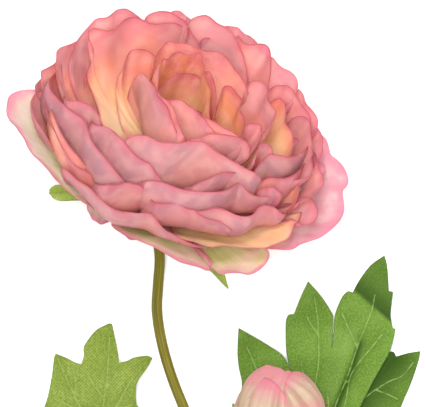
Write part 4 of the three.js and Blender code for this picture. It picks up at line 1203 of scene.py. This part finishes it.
# Right leaf: three lobes on the main blade, and a side lobe that runs under it
rightLeaf = {
    **leafForm, "base": (42, -91.4), "baseHeight": 2.6, "tipHeight": 0.7, "arch": 2.4, "fold": 0.5,
    "wave": 0.6,
    "reach": [(-90, 12), (-40, 14), (0, 32), (25, 34), (45, 40), (72, 58), (95, 48), (126, 43), (150, 32),
              (172, 30), (200, 14), (270, 12)],
    "blades": [
        {
            "drop": 0,
            "ridges": [{"line": [(51.9, -61.4), (49.5, -67.5), (47.2, -73), (44.7, -79.1), (42.4, -88)],
                        "height": 1.8, "left": 1.3, "right": 5.5}],
            # painted shade east of the crease, painted light on its west flank, painted shade over the bent
            # lobe tip
            "shadows": [
                {"line": [(51.5, -61.8), (49.5, -67.5), (47.2, -73), (44.7, -79.1), (42.4, -88)], "side": 1,
                 "width": 2.2, "amount": 1.3},
                {"line": [(50.5, -61), (48.5, -66), (46.5, -73), (44.2, -79.1), (42, -88)], "side": -1,
                 "width": 4.5, "amount": -0.2},
                {"line": [(50.5, -46), (54, -49), (61.6, -55.6)], "side": 1, "width": 16, "amount": 0.6},
                {"line": [(50.5, -46), (54, -49), (61.6, -55.6)], "side": 1, "width": 4, "amount": 0.4},
            ],
            "edge": [
                [(47, -92.5), (43, -94.5), (38, -95.5)],
                [(30, -96), (19, -93), (13, -88)],
                [(16.4, -81.5), (18.4, -73.5), (17.5, -68.5), (17.1, -64.4), (17.4, -57)],
                [(26.3, -62.2), (30.5, -65.3), (32.5, -69.4)],
                [(31.3, -64.5), (31, -58.5), (31.2, -54.5), (31.8, -53.2)],
                [(32.6, -53.1), (33.4, -53)],
                [(35.4, -48), (37.5, -43.5)],
                [(41.4, -47.9), (44, -51.9), (44.8, -53.4)],
                [(44.6, -58), (44.4, -62.7)],
                [(44.9, -58), (45.3, -53), (47.7, -47.5), (49, -46.4)],
                [(49.7, -46.5), (50.4, -46.8)],
                [(51.9, -43.9), (55.6, -38.9), (59.6, -36)],
                [(60.3, -38.5), (60.9, -46.4)],
                [(61.5, -46.4), (62.1, -46.6)],
                [(61.4, -53.4), (62, -57)],
                [(62.4, -57.1), (62.8, -57.4)],
                [(62, -61), (61, -64), (58.4, -68.6), (55.2, -74.5), (52, -81), (49.4, -88), (47, -92.5)],
            ],
            "veins": [
                [(42, -91.4), (40.3, -82), (39.6, -73.1), (40.5, -67.7), (40.6, -62.2), (40.3, -54.8),
                 (39.4, -47.9)],
                [(40.3, -58.9), (38.3, -55.9), (37.1, -53.4)],
                [(42, -91.4), (45.4, -79), (47.9, -73), (50, -67.2), (52.2, -61.2), (54, -56.7),
                 (55.9, -51.9), (56.8, -47.5)],
                [(51.6, -62.4), (48.6, -55.8), (47.4, -52.8)],
                [(44, -88.5), (48.1, -79.1), (49.7, -70.6), (51.9, -67.3), (55.9, -62.5), (58.9, -58.9)],
                [(40.8, -91), (30.5, -83), (24.5, -73), (19.6, -62)],
                [(40.7, -91.2), (28, -90.6), (16, -88.6)],
                [(39.9, -76), (36.6, -71.6), (35.4, -67)],
                [(26.3, -75.6), (22, -72.4), (20, -71.4)],
            ],
        },
        {
            "drop": 1.5, "ridges": [],
            # painted shadow of the main blade over the side lobe
            "shadows": [{"line": [(44, -94.5), (46.5, -86), (51, -77), (56, -69.5), (60.4, -64.6)],
                         "side": -1, "width": 9, "amount": 1.1}],
            "edge": [
                [(44, -94.5), (46.5, -86), (51, -77), (56, -69.5), (60.4, -64.6)],
                [(61.4, -63.8), (62.3, -64)],
                [(62.7, -64.6), (62.9, -65.3)],
                [(66.5, -64.3), (70, -63.7)],
                [(69.7, -65.8), (67.5, -72.5), (64.7, -79), (63.6, -82)],
                [(68.5, -84.6), (73, -91)],
                [(65, -94.6), (54, -96.6), (44, -94.5)],
            ],
            "veins": [
                [(43.5, -91.5), (49.3, -79.6), (53.7, -77.2), (57.4, -74.6), (61.1, -72.4), (64.7, -70.9),
                 (68, -67)],
                [(44.5, -92.5), (55, -89.5), (63, -89), (70.5, -90.4)],
                [(57, -74.9), (60.5, -76.2), (63.4, -77.6)],
            ],
        },
    ],
    "petiole": [(42.2, -90.4, 2.3), (41, -93, 3.0), (36, -100, 3.2), (28, -112, 2.6), (20, -122.5, 1.8),
                (16.3, -127, 1.5)],
    "petioleRadius": [(0, 0.7), (4, 1.05), (40, 1.1), (46, 1.35), (400, 1.35)],
    # this leaf's greens, with darker painted shade and painted light for its folds
    "look": {**leafLook, "green": "#587a1e", "lightGreen": "#66882e", "darkGreen": "#3e5c14",
             "veinColor": "#93b060", "underColor": "#84a05c", "lineColor": "#3c4f26", "paintedShadeGreen": "#2b4804",
             "paintedLightGreen": "#86a35c", "threads": 2.6, "weft": 0.4, "veinAmount": 0.55},
}


def leafPiece(name, leaf, node, seed):
    sheets = [leafSheet(leaf, bladeShape, seed + k) for k, bladeShape in enumerate(leaf["blades"])]
    line = smoothLine(drawn(leaf["petiole"]), leaf["petioleStep"])
    sheets.append(rodSheet(line, leaf["petioleRadius"], sides=20, seed=float(seed), slot=1))
    makePiece(name, sheets, [leafCloth(name + "Cloth", leaf["look"]), stalkLook], [node])


leafPiece("leafLeft", leftLeaf, "leaf_left", 11)
leafPiece("leafRight", rightLeaf, "leaf_right", 23)
print("leaves made")

# Calyx behind the bloom: five sepals on a thin disc
sepalLook = {**leafLook, "green": "#a8be58", "lightGreen": "#b8c86e", "darkGreen": "#8ca244",
             "veinAmount": 0.35, "underColor": "#90a258"}
calyxPiece = {
    "petals": [(145, 33, -4, 8.5, {"corner": 0.2, "power": 4}), (43, 41.5, -4, 11), (348, 34, 1, 12),
               (283, 26, 3, 12), (215, 27, 3, 12)],
    "grid": (20, 30), "thick": 0.4,
    "onAxis": (-2.2, -1.6, -1), "disc": [(0, 5), (0.6, 5.5), (1.2, 5)],
}


def makeCalyx(name, axes, ring, piece, nodes):
    line = np.array([alongAxes(axes, 0, 0, up) for up in piece["onAxis"]])
    sheets = [*whorl(axes, ring, piece), rodSheet(line, piece["disc"], slot=1)]
    makePiece(name, sheets, [leafCloth(ring + "Cloth", sepalLook), stalkLook], nodes)


makeCalyx("flowerCalyx", bloomAxes, "sepal", calyxPiece, ["calyx"])

# Bud: petals closed over each other, four of them drawn by their edges, and its own calyx
budPiece = {
    "petals": [(20, 2.4, 20.6, 19), (92, 2.4, 20.4, 19), (164, 2.4, 20.8, 19), (236, 2.4, 21.2, 19),
               (308, 2.4, 20.8, 19), (56, 1, 20, 15), (176, 1, 20, 15), (296, 1, 20, 15)],
    "front": [
        (23, 0.0, [
            (277, 400), (279, 384), (283, 373), (288, 370.5), (292, 373), (294, 384),
            (294, 398)], {"late": -0.5, "grow": 0.94}),
        (24, 0.0, [
            (264, 402), (259, 390), (256.5, 380), (258, 373.5), (262, 368), (267, 364.7), (272, 366.3),
            (278, 367.5), (283, 369.8), (286, 375), (288, 383), (290, 396)], {"grow": 1.0}),
        (22, 0.0, [
            (252, 438), (241, 425), (235.5, 410), (237, 399), (241, 391), (246.5, 384), (252, 378),
            (257, 375), (263, 376.5), (269, 378.5), (274, 382), (279, 387), (283, 392.5), (287, 400),
            (292, 411), (297, 425), (298, 438)], {"grow": 1.08}),
        (23, 0.0, [
            (287, 438), (284, 420), (284.5, 408), (285, 397), (285, 388), (286, 381), (288, 376),
            (291, 372.8), (295, 371.3), (299, 371.8), (304, 373.7), (308, 377), (312, 383), (315, 390),
            (318, 398), (320, 408), (319, 422), (311, 438)], {"grow": 1.06}),
    ],
    "grid": (40, 36), "thick": 0.32,
    "look": {
        **bloomPiece["look"],
        "cool": [(0.0, "#a6b25e"), (0.3, "#b8b878"), (0.62, "#c8be94"), (0.8, "#ccb49c"), (0.92, "#cca49e"),
                 (1.0, "#c88c92")],
        "duskyAmount": 0.2, "duskyColor": "#dcb0a4", "pale": 0.2, "paleColor": "#d8cab0", "patchSize": 5,
        "streak": 0.8, "streakColor": "#a8846e", "band": 0.7, "bandColor": "#d67a8c", "bandWidth": 5.6,
        "line": 0.5, "uneven": 0.3, "creaseWidth": 0.3, "creaseDepth": 0.3, "glow": 0.3,
        "glowColor": "#ffe6c4",
    },
}
budSheets = [*whorl(budAxes, "bud", budPiece), *whorl(budAxes, "budFront", budPiece, "front")]
makePiece("budPetals", budSheets, [petalCloth("budCloth", budPiece["look"])], ["bud_petals"])
budCalyxPiece = {
    "petals": [(azimuth, 14.4, 12, 12) for azimuth in (60, 132, 204, 276, 348)],
    "grid": (22, 26), "thick": 0.4,
    "onAxis": (-2, -0.6, 0.6), "disc": [(0, 2.5), (1.4, 4), (2.6, 4)],
}
makeCalyx("budCalyx", budAxes, "budSepal", budCalyxPiece, ["bud_calyx"])
print("calyx and bud made")


# Floor, sky and lamps
def makeFloor():
    material, tree, surface = startMaterial("floorPaper")
    place = put(tree, "TexCoord").outputs["Object"]
    grain = studio["floorGrain"]
    speckle = put(tree, "TexNoise", {"Vector": place, "Scale": grain["scale"], "Detail": 2.0}).outputs["Fac"]
    color = tint(tree, shade(studio["floorColor"]), speckle, grain["amount"], grain["color"])
    paper = put(tree, "BsdfPrincipled", {"Base Color": color, "Roughness": 0.9, "Specular IOR Level": 0.1})
    tree.links.new(paper.outputs[0], surface)
    half = studio["floorSize"] / 2
    mesh = bpy.data.meshes.new("floor")
    corners = [(-half, -half, 0), (half, -half, 0), (half, half, 0), (-half, half, 0)]
    mesh.from_pydata(corners, [], [(0, 1, 2, 3)])
    mesh.materials.append(material)
    floor = bpy.data.objects.new("floor", mesh)
    floor.location.z = -0.02 * mm
    bpy.context.scene.collection.objects.link(floor)


def makeLights():
    world = bpy.data.worlds.new("studioSky")
    world.use_nodes = True
    sky = world.node_tree.nodes["Background"].inputs
    sky["Color"].default_value, sky["Strength"].default_value = shade(studio["sky"][0]), studio["sky"][1]
    bpy.context.scene.world = world
    bpy.context.scene.view_settings.view_transform = "Standard"
    for name, place, size, power in studio["lamps"]:
        lamp = bpy.data.lights.new(name, "AREA")
        lamp.size, lamp.energy = size, power
        lampObject = bpy.data.objects.new(name, lamp)
        lampObject.location = place
        lampObject.rotation_euler = (-Vector(place)).to_track_quat("-Z", "Y").to_euler()
        bpy.context.scene.collection.objects.link(lampObject)


def makeCamera():
    lens = bpy.data.cameras.new("frontCamera")
    lens.sensor_width = cameraView["sensor"]
    away = cameraView["distance"] - cameraView["atHeight"]
    lens.lens = cameraView["sensor"] * away / cameraView["frameWidth"]
    lens.clip_start, lens.clip_end = 0.1, 50
    camera = bpy.data.objects.new("frontCamera", lens)
    camera.location = (*(mm * value for value in cameraView["lookAt"]), mm * cameraView["distance"])
    bpy.context.scene.collection.objects.link(camera)
    bpy.context.scene.camera = camera


makeFloor()
makeLights()
makeCamera()
print("studio made")
